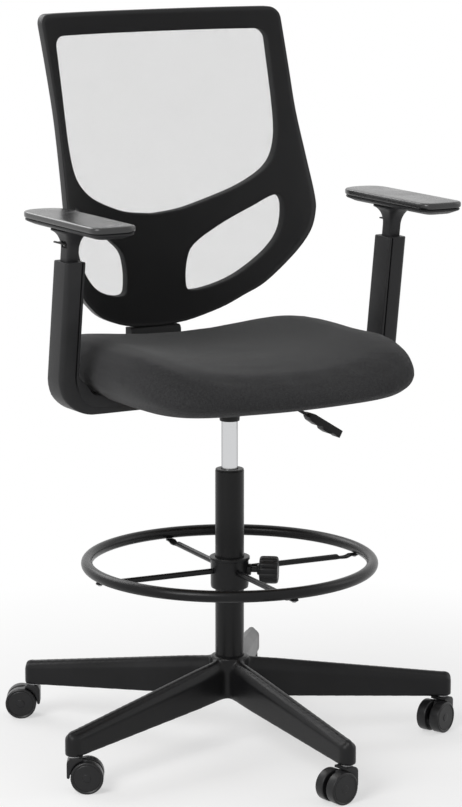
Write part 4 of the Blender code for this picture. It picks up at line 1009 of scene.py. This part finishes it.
# %% Collar
collar_low, collar_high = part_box("foot_collar")
COLLAR_BORE = 0.0254
collar = lathe("foot_collar_sleeve", rounded([
    (COLLAR_BORE, collar_low.z), (COLLAR_BORE, collar_high.z), (0.0350, collar_high.z, 0.0016),
    (0.0354, collar_high.z - 0.0050, 0.0012), (0.0330, collar_high.z - 0.0056, 0.0010),
    (0.0330, collar_low.z + 0.006, 0.001), (0.0322, collar_low.z, 0.0015),
    (COLLAR_BORE, collar_low.z)], 0.0006, 4), 96, AXIS)
knob_low, knob_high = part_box("clamp_knob")
KNOB_Z = (knob_low.z + knob_high.z) / 2
KNOB_TURN = math.radians(-35)
out = Vector((math.cos(KNOB_TURN), math.sin(KNOB_TURN), 0))
centre = Vector((0, AXIS_Y, KNOB_Z))
boss = bar("clamp_boss", centre + out * 0.026, centre + out * 0.0375, 0.0100, 48, 0.0015)
cut_by(collar, boss, operation="UNION")
up = Vector((0, 0, 0.06))
cut_by(collar, bar("clamp_hole", centre, centre + out * 0.060, 0.0054, 32),
       bar("column_way", centre - up, centre + up, COLLAR_BORE, 96))
smooth(collar, 35)
dress(collar, base_nylon, "black_nylon", "foot_rest", "foot_collar")


# %% Clamp knob
FLUTES = 12


def knob_section(reach, radius, flute):
    """A ring of the knob, its radius dipping by a flute's depth twelve times round."""
    points = []
    for index in range(144):
        angle = math.tau * index / 144
        dip = (0.5 + 0.5 * math.cos(FLUTES * angle)) ** 3
        here = radius - flute * dip
        points.append((here * math.cos(angle), here * math.sin(angle), reach))
    return points


KNOB_START = 0.0520
knob_rings = []
for reach, radius, flute in (
        (0.0, 0.0070, 0.0), (0.0, 0.0150, 0.0), (0.0004, 0.0205, 0.0006), (0.0016, 0.0226, 0.0012),
        (0.0036, 0.0236, 0.0016), (0.0070, 0.0239, 0.0018), (0.0165, 0.0240, 0.0018),
        (0.0260, 0.0239, 0.0018), (0.0294, 0.0236, 0.0016), (0.0314, 0.0226, 0.0010),
        (0.0325, 0.0208, 0.0004), (0.0328, 0.0190, 0.0), (0.0322, 0.0182, 0.0),
        (0.0322, 0.0120, 0.0), (0.0325, 0.0040, 0.0)):
    knob_rings.append(knob_section(reach, radius, flute))
knob = bridge("clamp_knob_fluted", knob_rings)
screw = lathe("clamp_screw", rounded([
    (0.0, -0.0264), (0.0046, -0.0264, 0.0010), (0.0050, 0.001), (0.0, 0.001)], 0.0008, 3), 32)
neck = lathe("clamp_neck", rounded([
    (0.0, -0.0040), (0.0085, -0.0040, 0.0010), (0.0105, 0.0010, 0.0008), (0.0, 0.0010)],
    0.0006, 3), 48)
knob = join_solids("clamp_knob_fluted", screw, neck, knob)
aim = Matrix.Translation(centre + out * KNOB_START) @ Vector((0, 0, 1)).rotation_difference(
    out).to_matrix().to_4x4()
knob.data.transform(aim)
smooth(knob, 32)
dress(knob, base_nylon, "black_nylon", "knob", "clamp_knob")

# %% [markdown]
# Under the seat sits a pressed steel pan with a socket for the column's cone. The pan is a
# rounded block whose top is inset and pushed down, which leaves thin walls. Four hexagon bolts
# hold the seat plate above it to the board.

# %% Mechanism pan
pan_low, pan_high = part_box("mechanism_housing")
PAN_BOTTOM = SOCKET_LOW + 0.023
CONE_TOP = SOCKET_LOW + 0.0335
PIN_X = 0.034
PIN_Z = 0.6143
PIN_BORE = 0.0023
pan = block("mechanism_pan", (pan_low.x, pan_low.y, PAN_BOTTOM), pan_high, 0.005, 4)
choose_faces(pan, lambda face: face.normal.z > 0.99)
bpy.ops.mesh.inset(thickness=0.0005)
bpy.ops.mesh.extrude_region_move(
    TRANSFORM_OT_translate={"value": (0, 0, -(pan_high.z - PAN_BOTTOM) + 0.004)})
bpy.ops.object.mode_set(mode="OBJECT")
boss = lathe("pan_boss", rounded([
    (0.0, SOCKET_LOW), (0.0172, SOCKET_LOW, 0.0015), (0.0175, SOCKET_LOW + 0.007, 0.0008),
    (0.0195, SOCKET_LOW + 0.0085, 0.0010), (0.0205, PAN_BOTTOM + 0.001, 0.002),
    (0.0175, PAN_BOTTOM + 0.004), (0.0175, CONE_TOP), (0.0, CONE_TOP)], 0.001, 4), 72, AXIS)
cut_by(pan, boss, operation="UNION")
cone = lathe("cone_bore", [
    (0.0, 0.55), (0.0143, 0.55), (0.0143, SOCKET_LOW + 0.002), (0.0133, CONE_TOP),
    (0.0133, 0.64), (0.0, 0.64)], 72, AXIS)
lever_gap = block("lever_gap", (0.045, AXIS_Y - 0.005, 0.6093), (0.065, AXIS_Y + 0.005, 0.64))
cut_by(pan, cone, lever_gap)
for side in (-1, 1):
    near = AXIS_Y + side * 0.0085 - 0.0015
    cut_by(pan, block("ear", (0.029, near, PAN_BOTTOM + 0.002), (0.039, near + 0.003, 0.6188)),
           operation="UNION")
cut_by(pan, bar("ear_bore", (PIN_X, AXIS_Y - 0.012, PIN_Z), (PIN_X, AXIS_Y + 0.012, PIN_Z),
                PIN_BORE))
smooth(pan, 35)
dress(pan, pan_paint, "pan_steel", "seat", "mechanism_housing")
paint_nodes(zinc, "lever_pin")

# %% Seat plate and bolts
plate_low, plate_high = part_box("seat_plate")
top_plate = block("seat_plate_pressed", plate_low, plate_high, 0.0010, 2)
dress(top_plate, pan_paint, "pan_steel", "seat", "seat_plate")


def hex_bolt(name, x, y, under):
    """A hexagon head with a washer, hanging from a surface at a height."""
    bpy.ops.mesh.primitive_cylinder_add(vertices=6, radius=0.0058, depth=0.0040,
                                        location=(x, y, under - 0.0032))
    head = named(name)
    shape(head, "BEVEL", width=0.0005, segments=2)
    washer = lathe("washer", rounded([(0.0, under - 0.0013), (0.0075, under - 0.0013, 0.0004),
                                      (0.0075, under), (0.0, under)], 0.0004, 2), 32, (x, y))
    return smooth(join_solids(name, washer, head), 30)


bolt_places = [(x, y) for x in (-0.0625, 0.0625)
               for y in (plate_low.y + 0.012, plate_high.y - 0.012)]
for number, (x, y) in enumerate(bolt_places, 1):
    dress(hex_bolt(f"plate_bolt_{number}", x, y, plate_low.z), zinc, "zinc_steel", "seat")
paint_nodes(plywood, "seat_board")

# %% [markdown]
# The height lever is a steel rod that runs out under the seat and bends down into a flat
# plastic paddle. Its underside has two finger waves. The rod is bridged through its bend and
# the paddle is a side outline with those waves, drawn across and rounded.

# %% Height lever
LEVER = Vector((PIN_X, AXIS_Y, PIN_Z))
SLOPE = math.radians(32)
ROD_R = 0.003
rod_path = [(-0.0035, PIN_Z), (0.040, PIN_Z), (0.070, PIN_Z), (0.077, 0.6138),
            (0.083, 0.6120), (0.090, 0.6079), (0.145, 0.5735), (0.158, 0.5654)]
rod_rings = []
for index, (x, z) in enumerate(rod_path):
    ahead = rod_path[min(index + 1, len(rod_path) - 1)]
    behind = rod_path[max(index - 1, 0)]
    tilt = math.atan2(ahead[1] - behind[1], ahead[0] - behind[0])
    rod_rings.append([(x - ROD_R * math.sin(a) * math.sin(tilt), AXIS_Y + ROD_R * math.cos(a),
                       z + ROD_R * math.sin(a) * math.cos(tilt))
                      for a in (math.tau * i / 20 for i in range(20))])
rod = bridge("height_lever_rod", rod_rings)
paddle_side = rounded([
    (0.0150, 0.0040, 0.002), (0.0220, 0.0062, 0.002), (0.0892, 0.0062, 0.0015),
    (0.0900, -0.0076, 0.0015), (0.0800, -0.0068, 0.004), (0.0735, -0.0054, 0.005),
    (0.0680, -0.0104, 0.005), (0.0540, -0.0100, 0.005), (0.0470, -0.0046, 0.005),
    (0.0400, -0.0088, 0.005), (0.0220, -0.0078, 0.003), (0.0150, -0.0040, 0.002)],
    0.002, 5, closed=True)
paddle = plate("lever_paddle", paddle_side, -0.0110, 0.0110, 0.0022)
grip = Matrix.Translation((0.1440, AXIS_Y, 0.5752)) @ Matrix.Rotation(SLOPE, 4, "Y")
paddle.data.transform(grip)
eye_half = Vector((0.0043, 0.0055, 0.0043))
across_pin = Vector((0, 0.02, 0))
cut_by(rod, block("lever_eye", LEVER - eye_half, LEVER + eye_half, 0.0010, 2), operation="UNION")
cut_by(rod, bar("pin_way", LEVER - across_pin, LEVER + across_pin, PIN_BORE))
smooth(rod, 35)
dress(rod, pan_paint, "pan_steel", "height_lever", "height_lever")
dress(paddle, lever_nylon, "black_nylon", "height_lever")

# %% [markdown]
# The seat is a moulded foam block in a sewn cover. It is dished, its sides stand higher than
# its middle, and its front rolls down. The form starts as rings of a squared oval, drawn in at
# the top and at the lower edge. It is made a millimetre too small, remeshed, and then blown up
# by a cloth simulation, which gives the taut, slightly uneven swell of real upholstery. The
# swell is capped so that the cover stays in the seat's own space, and evened out.

# %% Seat form
SEAT_LOW = 0.6250
SEAT_HALF_X = 0.266
SEAT_FRONT = 0.262
SEAT_REAR = 0.235
SEAT_MIDDLE = 0.0720
DISH = 0.032
FALL_START = 0.080
SQUARED = 4.7


def seat_plan(inset):
    """Outline of the seat from above, drawn in by an inset."""
    half_x = SEAT_HALF_X - inset
    half_y = (SEAT_REAR + SEAT_FRONT) / 2 - inset
    return [(x, (SEAT_REAR - SEAT_FRONT) / 2 + y)
            for x, y in squared_oval(half_x, half_y, SQUARED, 96)]


def seat_height(x, y):
    """Height of the seat's surface over its underside."""
    side = min(1.0, abs(x) / SEAT_HALF_X)
    fall = max(0.0, (-y - FALL_START) / (SEAT_FRONT - FALL_START))
    return SEAT_MIDDLE + DISH * side ** 2 - DISH * fall ** 2


SHRINK = 0.001
seat_rings = []
for inset, share in ((0.0500, 0.0), (0.0400, 0.015), (0.0200, 0.12), (0.0040, 0.32), (0.0, 0.52),
                     (0.0080, 0.77), (0.0260, 0.94), (0.0600, 1.0), (0.1000, 0.995),
                     (0.1400, 0.985), (0.1800, 0.98), (0.2200, 0.98)):
    seat_rings.append([(x, AXIS_Y + y, SEAT_LOW + 0.0005
                        + (seat_height(x, y) - SHRINK) * share)
                       for x, y in seat_plan(inset + SHRINK)])
cushion = bridge("seat_cushion_covered", seat_rings)
shape(cushion, "REMESH", mode="VOXEL", voxel_size=0.0055)
shape(cushion, "SMOOTH", factor=0.5, iterations=6)
print("seat form", len(cushion.data.vertices), "points")

# %% Blow up the cover
CLOTH = {"quality": 5, "mass": 0.3, "use_pressure": True, "tension_stiffness": 25,
         "compression_stiffness": 25, "bending_stiffness": 12.0, "vertex_group_mass": "held"}
EVENING_ROUNDS = 24


def points_of(obj):
    """A mesh's points as rows of an array."""
    points = np.empty(len(obj.data.vertices) * 3)
    obj.data.vertices.foreach_get("co", points)
    return points.reshape(-1, 3)


def puff(obj, pressure, frames, reach):
    """Swell a closed mesh by cloth pressure. The swell is capped at a reach and evened out."""
    before = points_of(obj)
    outwards = np.array([vert.normal[:] for vert in obj.data.vertices])
    held = obj.vertex_groups.new(name="held")
    low = before[:, 2].min() + 0.004
    held.add([int(i) for i in np.nonzero(before[:, 2] < low)[0]], 1.0, "REPLACE")
    pick(obj)
    bpy.ops.object.modifier_add(type="CLOTH")
    cloth = obj.modifiers[-1]
    for key, value in CLOTH.items():
        setattr(cloth.settings, key, value)
    cloth.settings.uniform_pressure_force = pressure
    cloth.settings.effector_weights.gravity = 0.0
    cloth.collision_settings.use_collision = False
    cloth.point_cache.frame_start = 1
    cloth.point_cache.frame_end = frames
    for moment in range(1, frames + 1):
        bpy.context.scene.frame_set(moment)
    pick(obj)
    bpy.ops.object.modifier_apply(modifier=cloth.name)
    bpy.context.scene.frame_set(1)
    swell = np.clip(((points_of(obj) - before) * outwards).sum(axis=1), 0.0, reach)
    ends = np.array([edge.vertices[:] for edge in obj.data.edges])
    count = np.bincount(ends.ravel(), minlength=len(swell))
    for _ in range(EVENING_ROUNDS):
        total = np.bincount(ends[:, 0], swell[ends[:, 1]], len(swell))
        total += np.bincount(ends[:, 1], swell[ends[:, 0]], len(swell))
        swell = 0.5 * swell + 0.5 * total / count
    obj.data.vertices.foreach_set("co", (before + outwards * swell[:, None]).ravel())
    obj.data.update()
    obj.vertex_groups.clear()
    print(obj.name, "swelled by", round(float(swell.min()) * 1000, 1), "to",
          round(float(swell.max()) * 1000, 1), "mm")


puff(cushion, pressure=4.0, frames=20, reach=0.0055)
shape(cushion, "SMOOTH", factor=0.5, iterations=4)
shape(cushion, "SUBSURF", levels=1, render_levels=1)
pocket = slab("board_pocket", [(x, AXIS_Y + y) for x, y in seat_plan(0.0517)], 0.60, 0.6373)
cut_by(cushion, pocket)
smooth(cushion, 60)
choose_faces(cushion)
bpy.ops.uv.cube_project(cube_size=1.0, correct_aspect=False)
bpy.ops.object.mode_set(mode="OBJECT")
dress(cushion, cover_cloth, "charcoal_fabric", "seat", "seat_cushion")

# %% [markdown]
# The back is one moulded frame, bent round the sitter's sides: nearly straight at its top, and
# wrapped further forward the lower it goes. The same curve serves the frame and the net. A
# point's depth falls away from the centre line with a power of its distance to the side.

# %% The back's curve
BACK_LOW = 0.699
BACK_TALL = 0.561
BACK_WIDE = 0.2455
BACK_Y = AXIS_Y + 0.261
BACK_THICK = 0.022


def back_y(x, z):
    """Depth of the back's front surface."""
    share = min(1.0, max(0.0, (BACK_LOW + BACK_TALL - z) / BACK_TALL))
    wrap = 0.030 + 0.130 * math.sin(math.radians(100) * share)
    return BACK_Y - wrap * abs(x / BACK_WIDE) ** 2.6


def flowing(points, steps=4, closed=False):
    """A smooth curve through points."""
    path = []
    last = len(points) - 1
    count = len(points) if closed else last
    for i in range(count):
        if closed:
            four = [points[(i + k) % len(points)] for k in (-1, 0, 1, 2)]
        else:
            four = [points[min(max(i + k, 0), last)] for k in (-1, 0, 1, 2)]
        a, b, c, d = (Vector(p) for p in four)
        for step in range(steps):
            t = step / steps
            path.append(tuple(0.5 * ((2 * b) + (c - a) * t + (2 * a - 5 * b + 4 * c - d) * t ** 2
                                     + (3 * b - a - 3 * c + d) * t ** 3)))
    if not closed:
        path.append(tuple(points[last]))
    return path


def from_shares(shares):
    """Points given as shares of the back's half width and of its height, in metres."""
    return [(x * BACK_WIDE, BACK_LOW + z * BACK_TALL) for x, z in shares]


def both_sides(half):
    """A closed outline from its +X half, bottom centre to top centre."""
    return half + [(-x, z) for x, z in reversed(half) if x > 0.0001]


# %% Outlines of the back and its windows
TOP = BACK_LOW + BACK_TALL
outer_half = from_shares((
    (0.0, 0.0), (0.245, 0.009), (0.480, 0.046), (0.632, 0.091), (0.750, 0.136), (0.882, 0.223),
    (0.965, 0.301), (0.997, 0.367), (1.0, 0.420), (0.981, 0.537)))
outer_half += [(0.236, TOP - 0.180), (0.236, TOP - 0.110), (0.237, TOP - 0.025)]
outer = both_sides(flowing(outer_half)
                   + circle_points(0.019, 0, 90, 8, (0.2180, TOP - 0.019)) + [(0.0, TOP)])
upper_half = from_shares(((0.0, 0.358), (0.245, 0.372), (0.530, 0.419), (0.700, 0.467),
                          (0.798, 0.519)))
upper_half += [(0.207, TOP - 0.230), (0.210, TOP - 0.180), (0.210, TOP - 0.088)]
upper = both_sides(flowing(upper_half)
                   + circle_points(0.018, 0, 90, 6, (0.192, TOP - 0.056))
                   + [(0.0, TOP - 0.038)])
lower_side = flowing(from_shares((
    (0.270, 0.109), (0.242, 0.144), (0.253, 0.205), (0.301, 0.253), (0.473, 0.312),
    (0.676, 0.373), (0.782, 0.408), (0.831, 0.412), (0.851, 0.380), (0.827, 0.298),
    (0.741, 0.225), (0.582, 0.153), (0.411, 0.116))), closed=True)
lower_other = [(-x, z) for x, z in lower_side]
print("outlines:", len(outer), len(upper), len(lower_side), "points")


def drawn_in(outline, inset):
    """The outline moved inwards everywhere by an inset."""
    moved = []
    for index, point in enumerate(outline):
        before = Vector(outline[index - 1])
        run = Vector(outline[(index + 1) % len(outline)]) - before
        moved.append(tuple(Vector(point) + Vector((-run.y, run.x)).normalized() * inset))
    return moved


def laid_on_back(obj, stand_off=0.0):
    """Move a flat sheet's points in depth onto the back's curve."""
    for vert in obj.data.vertices:
        vert.co.y += back_y(vert.co.x, vert.co.z) + stand_off
    obj.data.update()
    return obj


# %% [markdown]
# The frame starts flat: a curve of its outline, with the three windows left out, is filled,
# drawn to its thickness and bevelled, which gives the round rims that a mould leaves. The mesh
# is cut into a grid so that it can bend, and its points are moved in depth onto the back's
# curve. An attribute marks where the rims turn away, and the finish paints them lighter there,
# a painted highlight for their lit edges, and makes them glossier.

# %% Back frame
back = fill_outline("back_frame_moulding", [outer, upper, lower_side, lower_other],
                    spacing=0.010, thick=BACK_THICK - 0.0008, edge=0.0032)
laid_on_back(back, BACK_THICK / 2)
TONGUE_TOP = BACK_LOW + 0.069
TONGUE_HALF = 0.040
TONGUE_THICK = 0.009
tongue_y = back_y(0.0, TONGUE_TOP) + BACK_THICK / 2
way_half = TONGUE_THICK / 2 + GAP
cut_by(back, block("tongue_way", (-TONGUE_HALF - GAP, tongue_y - way_half, BACK_LOW - 0.02),
                   (TONGUE_HALF + GAP, tongue_y + way_half, TONGUE_TOP + GAP)))
smooth(back, 50)
edge_z = [z for x, z in outer if x >= 0.0]
edge_x = [x for x, z in outer if x >= 0.0]
# The rim value paints the frame lighter where it turns away from the front, a painted highlight
# for its lit edges: fully on the outer rims and the back, at 0.35 on the window walls. It also
# makes them glossier.
rim_gloss_and_painted_light = back.data.attributes.new("rim_gloss_and_painted_light", "FLOAT", "POINT")
RIM_WIDE = 0.010
for vert, value in zip(back.data.vertices, rim_gloss_and_painted_light.data):
    outside = abs(vert.co.x) > np.interp(vert.co.z, edge_z, edge_x) - RIM_WIDE
    turned = min(1.0, max(0.0, 1.0 + vert.normal.y * 1.25))
    value.value = turned if outside or vert.normal.y > 0.3 else 0.35 * turned
dress(back, frame_nylon, "black_nylon", "seat", "back_frame")

# %% [markdown]
# The net is one open sheet, without thickness, stretched over the whole front of the frame. It
# is the frame's outline, drawn in a little, filled, cut into a fine grid and laid just in front
# of the same curve.

# %% Net
NET_INSET = 0.0060
NET_LIFT = 0.0006
net_outline = drawn_in(outer, NET_INSET)
net = fill_outline("back_net_sheet", [net_outline], spacing=0.008)
laid_on_back(net, -NET_LIFT)
smooth(net, 80)
dress(net, back_net, "black_mesh", "seat", "back_mesh")
widest = max(net_outline, key=lambda point: point[0])
row = [(x, back_y(x, widest[1])) for x in np.linspace(-widest[0], widest[0], 60)]
column = [(back_y(0.0, z), z) for z in np.linspace(BACK_LOW + NET_INSET, TOP - NET_INSET, 60)]

# %% [markdown]
# A steel bracket carries the back: a bar from under the seat, a bend, a block between seat and
# back and a tongue up inside the frame. Its side outline is drawn across and bevelled.

# %% Back bracket
bracket_rear = tongue_y + 0.012
bar_top = pan_high.z - GAP
bar_low = bar_top - 0.010
bar_start = pan_high.y + GAP
side_outline = [(bar_start, bar_low)]
side_outline += circle_points(0.035, -90, 0, 10, (bracket_rear - 0.035, bar_low + 0.035))
side_outline += [(bracket_rear, BACK_LOW - 0.0004), (bracket_rear - 0.018, BACK_LOW - 0.0004),
                 (bracket_rear - 0.0215, BACK_LOW - 0.0022),
                 (bracket_rear - 0.024, BACK_LOW - 0.0065),
                 (bracket_rear - 0.024, bar_low + 0.038)]
side_outline += circle_points(0.012, 0, -90, 5, (bracket_rear - 0.036, bar_low + 0.022))[1:]
side_outline += [(bar_start, bar_top)]
bracket = plate("back_bracket_bent", side_outline, -0.050, 0.050, 0.0016)
bracket.data.transform(Matrix.Rotation(math.radians(90), 4, "Z"))
clean(bracket)
tongue = block("bracket_tongue",
               (-TONGUE_HALF, tongue_y - TONGUE_THICK / 2, BACK_LOW - 0.02),
               (TONGUE_HALF, tongue_y + TONGUE_THICK / 2, TONGUE_TOP), 0.0010, 2)
cut_by(bracket, tongue, operation="UNION")
smooth(bracket, 35)
dress(bracket, frame_nylon, "pan_steel", "seat", "back_bracket")

# %% [markdown]
# An armrest has a fixed upright and a sliding post. The upright starts as a flat bar under the
# seat, bends up and becomes a hollow sleeve that leans forward. Sections are bridged along
# that path: wide and thin under the seat, deep and rounded above. A web fills the inside of
# the bend, and a narrow groove runs down the sleeve's front edge, where its cover strip meets
# the body.

# %% Arm upright
SIDES = (("left", 1), ("right", -1))
ARM_X = 0.315
ARM_TOP = 0.873
ARM_FOOT = 0.633
LEAN = math.radians(8.2)
ARM_BEND = 0.052
BAR_HALF = 0.00775
SLEEVE_HALF = 0.0175
BAR_Z = SEAT_LOW - GAP - BAR_HALF


def lean_y(z):
    """Depth of the arm's centre line at a height."""
    return AXIS_Y + 0.018 - math.tan(LEAN) * (z - ARM_FOOT)


def on_arm(side, outline, z):
    """An outline of (outwards, rear) laid level round the arm's centre line."""
    return [(side * (ARM_X + u), lean_y(z) + v, z) for u, v in outline]


def arm_section(half_wide, half_deep, corner, groove=0.0, web=0.0):
    """Outline of the sleeve: first value across the arm, outwards positive, second to the rear."""
    near = -half_wide + min(0.0040, half_wide * 0.3)
    far = near + 0.0028
    inner = -half_wide - web
    corners = [(inner, -half_deep, 0.0012), (near, -half_deep, 0.0003),
               (near, groove - half_deep, 0.0003), (far, groove - half_deep, 0.0003),
               (far, -half_deep, 0.0006), (half_wide, -half_deep, corner),
               (half_wide, half_deep, corner), (inner, half_deep, corner * 0.6)]
    return [tuple(p) for p in rounded(corners, corner, 5, closed=True)]


# how far the web stands in from the sleeve, at shares of the bend
WEB_AT = (0.083, 0.167, 0.25, 0.333, 0.417, 0.5, 0.667, 0.833, 1.0)
WEB_DEEP = (0.0165, 0.0165, 0.0165, 0.0165, 0.0160, 0.0150, 0.0110, 0.0055, 0.0)


def bend_ring(side, share):
    """The upright's outline at a share of its bend from the bar to the sleeve."""
    angle = math.radians(90) * share
    x = ARM_X - ARM_BEND + ARM_BEND * math.sin(angle)
    z = BAR_Z + 0.010 * share + ARM_BEND * (1 - math.cos(angle))
    half_wide = BAR_HALF + (SLEEVE_HALF - BAR_HALF) * min(1.0, share * 1.5)
    half_deep = 0.030 - 0.004 * share
    y = lean_y(z) * share + lean_y(ARM_FOOT) * (1 - share)
    groove = 0.0003 + 0.0042 * min(1.0, max(0.0, share * 2.0 - 1.0))
    web = float(np.interp(share, WEB_AT, WEB_DEEP))
    outline = arm_section(half_wide, half_deep, 0.004 + 0.005 * share, groove, web)
    return [(side * (x + u * math.sin(angle)), y + v, z - u * math.cos(angle))
            for u, v in outline]


def arm_upright(side_name, side):
    """One fixed upright, from the bar under the seat to the sleeve's mouth."""
    rings = []
    for x, web in ((0.150, 0.0), (0.190, 0.0), (0.226, 0.0060), (0.248, 0.0150)):
        rings.append([(side * x, lean_y(ARM_FOOT) + v, BAR_Z - u)
                      for u, v in arm_section(BAR_HALF, 0.0300, 0.0040, 0.0003, web)])
    rings += [bend_ring(side, index / 12) for index in range(1, 13)]
    for z in (0.72, 0.77, 0.82, ARM_TOP - 0.0012):
        rings.append(on_arm(side, arm_section(SLEEVE_HALF, 0.0260, 0.009, 0.0045), z))
    rings.append(on_arm(side, arm_section(0.0168, 0.0253, 0.0083, 0.0038), ARM_TOP))
    upright = bridge(f"{side_name}_arm_sleeve", rings)
    well_outline = rounded_box(0.0113, 0.0153, 0.0060)
    cut_by(upright, bridge("post_well", [on_arm(side, well_outline, z)
                                         for z in (0.727, ARM_TOP + 0.02)]))
    smooth(upright, 32)
    dress(upright, arm_nylon, "black_nylon", "seat", f"{side_name}_arm_upright")


for side_name, side in SIDES:
    arm_upright(side_name, side)

# %% [markdown]
# The post that slides in the sleeve flares into a long plate, with a smooth fillet like the
# bell of a horn. The pad on it is skinned foam on a chamfered plastic base, straight at the
# front and round at the rear. A thin release lever comes out of the back of the neck.

# %% Sliding post and release lever
POST = (0.0110, 0.0150, 0.0058)  # half width, half depth and corner radius
FLARE = (0.0150, 0.0210, 0.0152)  # what the flare adds to each
POST_TOP = 0.927
FLARE_LOW = POST_TOP - 0.034
FLARE_TALL = 0.0312
FLARE_TURN = math.radians(78)
SLOT_Y = lean_y(POST_TOP) + 0.015
SLOT_Z = POST_TOP - 0.0248


def by_slot(name, side, low, high, edge=0.0):
    """A block whose corners lie (outwards, to the rear, up) from the release lever's slot."""
    near, far = sorted(side * (ARM_X + corner[0]) for corner in (low, high))
    return block(name, (near, SLOT_Y + low[1], SLOT_Z + low[2]),
                 (far, SLOT_Y + high[1], SLOT_Z + high[2]), edge)


def arm_post(side_name, side):
    """One sliding post, with the notch and the finger pocket for its release lever."""
    levels = [(0.743, 0.0100, 0.0140, 0.0050), (0.744, *POST), (0.860, *POST),
              (FLARE_LOW, *POST)]
    for index in range(1, 13):
        turn = FLARE_TURN * index / 12
        bell = (1 - math.cos(turn)) / (1 - math.cos(FLARE_TURN))
        levels.append((FLARE_LOW + FLARE_TALL * math.sin(turn) / math.sin(FLARE_TURN),
                       *(size + more * bell for size, more in zip(POST, FLARE))))
    levels += [(POST_TOP - 0.0008, 0.0262, 0.0366, 0.0212), (POST_TOP, 0.0256, 0.0360, 0.0207)]
    rings = [on_arm(side, rounded_box(half_wide, half_deep, corner), z)
             for z, half_wide, half_deep, corner in levels]
    post = bridge(f"{side_name}_arm_slider", rings)
    cut_by(post, by_slot("notch", side, (-0.0083, -0.012, -0.005), (0.0083, 0.05, 0.005)))
    cut_by(post, by_slot("finger_pocket", side, (0.0075, -0.0225, -0.0060),
                         (0.030, -0.0035, 0.0060), 0.0020))
    smooth(post, 35)
    dress(post, arm_nylon, "black_nylon", f"{side_name}_armrest", f"{side_name}_arm_post")


def release_lever(side_name, side):
    """One release lever: a tab through the neck, a blade along its outer side and a hub."""
    lever = by_slot(f"{side_name}_release_tab", side, (-0.0080, -0.0117, -0.0013),
                    (0.0080, 0.0183, 0.0013), 0.0011)
    blade = by_slot("release_blade", side, (0.0080, -0.0190, -0.0014),
                    (0.0125, 0.0260, 0.0014), 0.0011)
    hub = by_slot("release_hub", side, (-0.0076, -0.0112, -0.0038),
                  (0.0076, -0.0010, 0.0038), 0.0015)
    cut_by(lever, blade, hub, operation="UNION")
    smooth(lever, 35)
    dress(lever, lever_nylon, "black_nylon", f"{side_name}_release",
          f"{side_name}_release_lever")


for side_name, side in SIDES:
    arm_post(side_name, side)
    release_lever(side_name, side)


# %% Pads and their bases
def pad_plan(inset):
    """Pad from above: cut corners at the front, round ones at the rear."""
    wide = 0.0405 - inset
    front = -0.188 + inset
    rear = 0.094 - inset
    at_front = max(0.0005, 0.024 - inset * 0.6)
    at_rear = max(0.0005, 0.040 - inset * 0.6)
    return rounded([(-wide, front, at_front), (wide, front, at_front),
                    (wide, rear, at_rear), (-wide, rear, at_rear)], 0.02, 8, closed=True)


PAD_LOW = 0.9382
PAD_LEVELS = ((0.0140, 0.0), (0.0045, 0.0), (0.0012, 0.0005), (0.0002, 0.0020), (0.0, 0.0040),
              (0.0, 0.0072), (0.0005, 0.0088), (0.0015, 0.0099), (0.0034, 0.0105),
              (0.0070, 0.0107), (0.0160, 0.0108), (0.0280, 0.0108), (0.0380, 0.0108))
TRAY_LOW = 0.9273
TRAY_LEVELS = ((0.0400, 0.0), (0.0300, 0.0), (0.0170, 0.0002), (0.0155, 0.0007),
               (0.0035, 0.0058), (0.0022, 0.0066), (0.0018, 0.0076), (0.0018, 0.0092),
               (0.0026, 0.0099), (0.0055, 0.0099), (0.0060, 0.0109), (0.0200, 0.0109),
               (0.0400, 0.0109))


def pad_form(name, side, low, levels):
    """A closed form from levels, each an inset of the pad's plan and a height over the lowest."""
    return bridge(name, [[(side * ARM_X + x, AXIS_Y + y, low + height)
                          for x, y in pad_plan(inset)] for inset, height in levels])


def arm_pad(side_name, side):
    """One pad and the base under it."""
    pad = smooth(pad_form(f"{side_name}_arm_pad_soft", side, PAD_LOW, PAD_LEVELS), 60)
    dress(pad, soft_skin, "grey_pad_skin", f"{side_name}_armrest", f"{side_name}_arm_pad")
    base = smooth(pad_form(f"{side_name}_pad_tray", side, TRAY_LOW, TRAY_LEVELS), 32)
    dress(base, arm_nylon, "black_nylon", f"{side_name}_armrest", f"{side_name}_pad_base")


for side_name, side in SIDES:
    arm_pad(side_name, side)
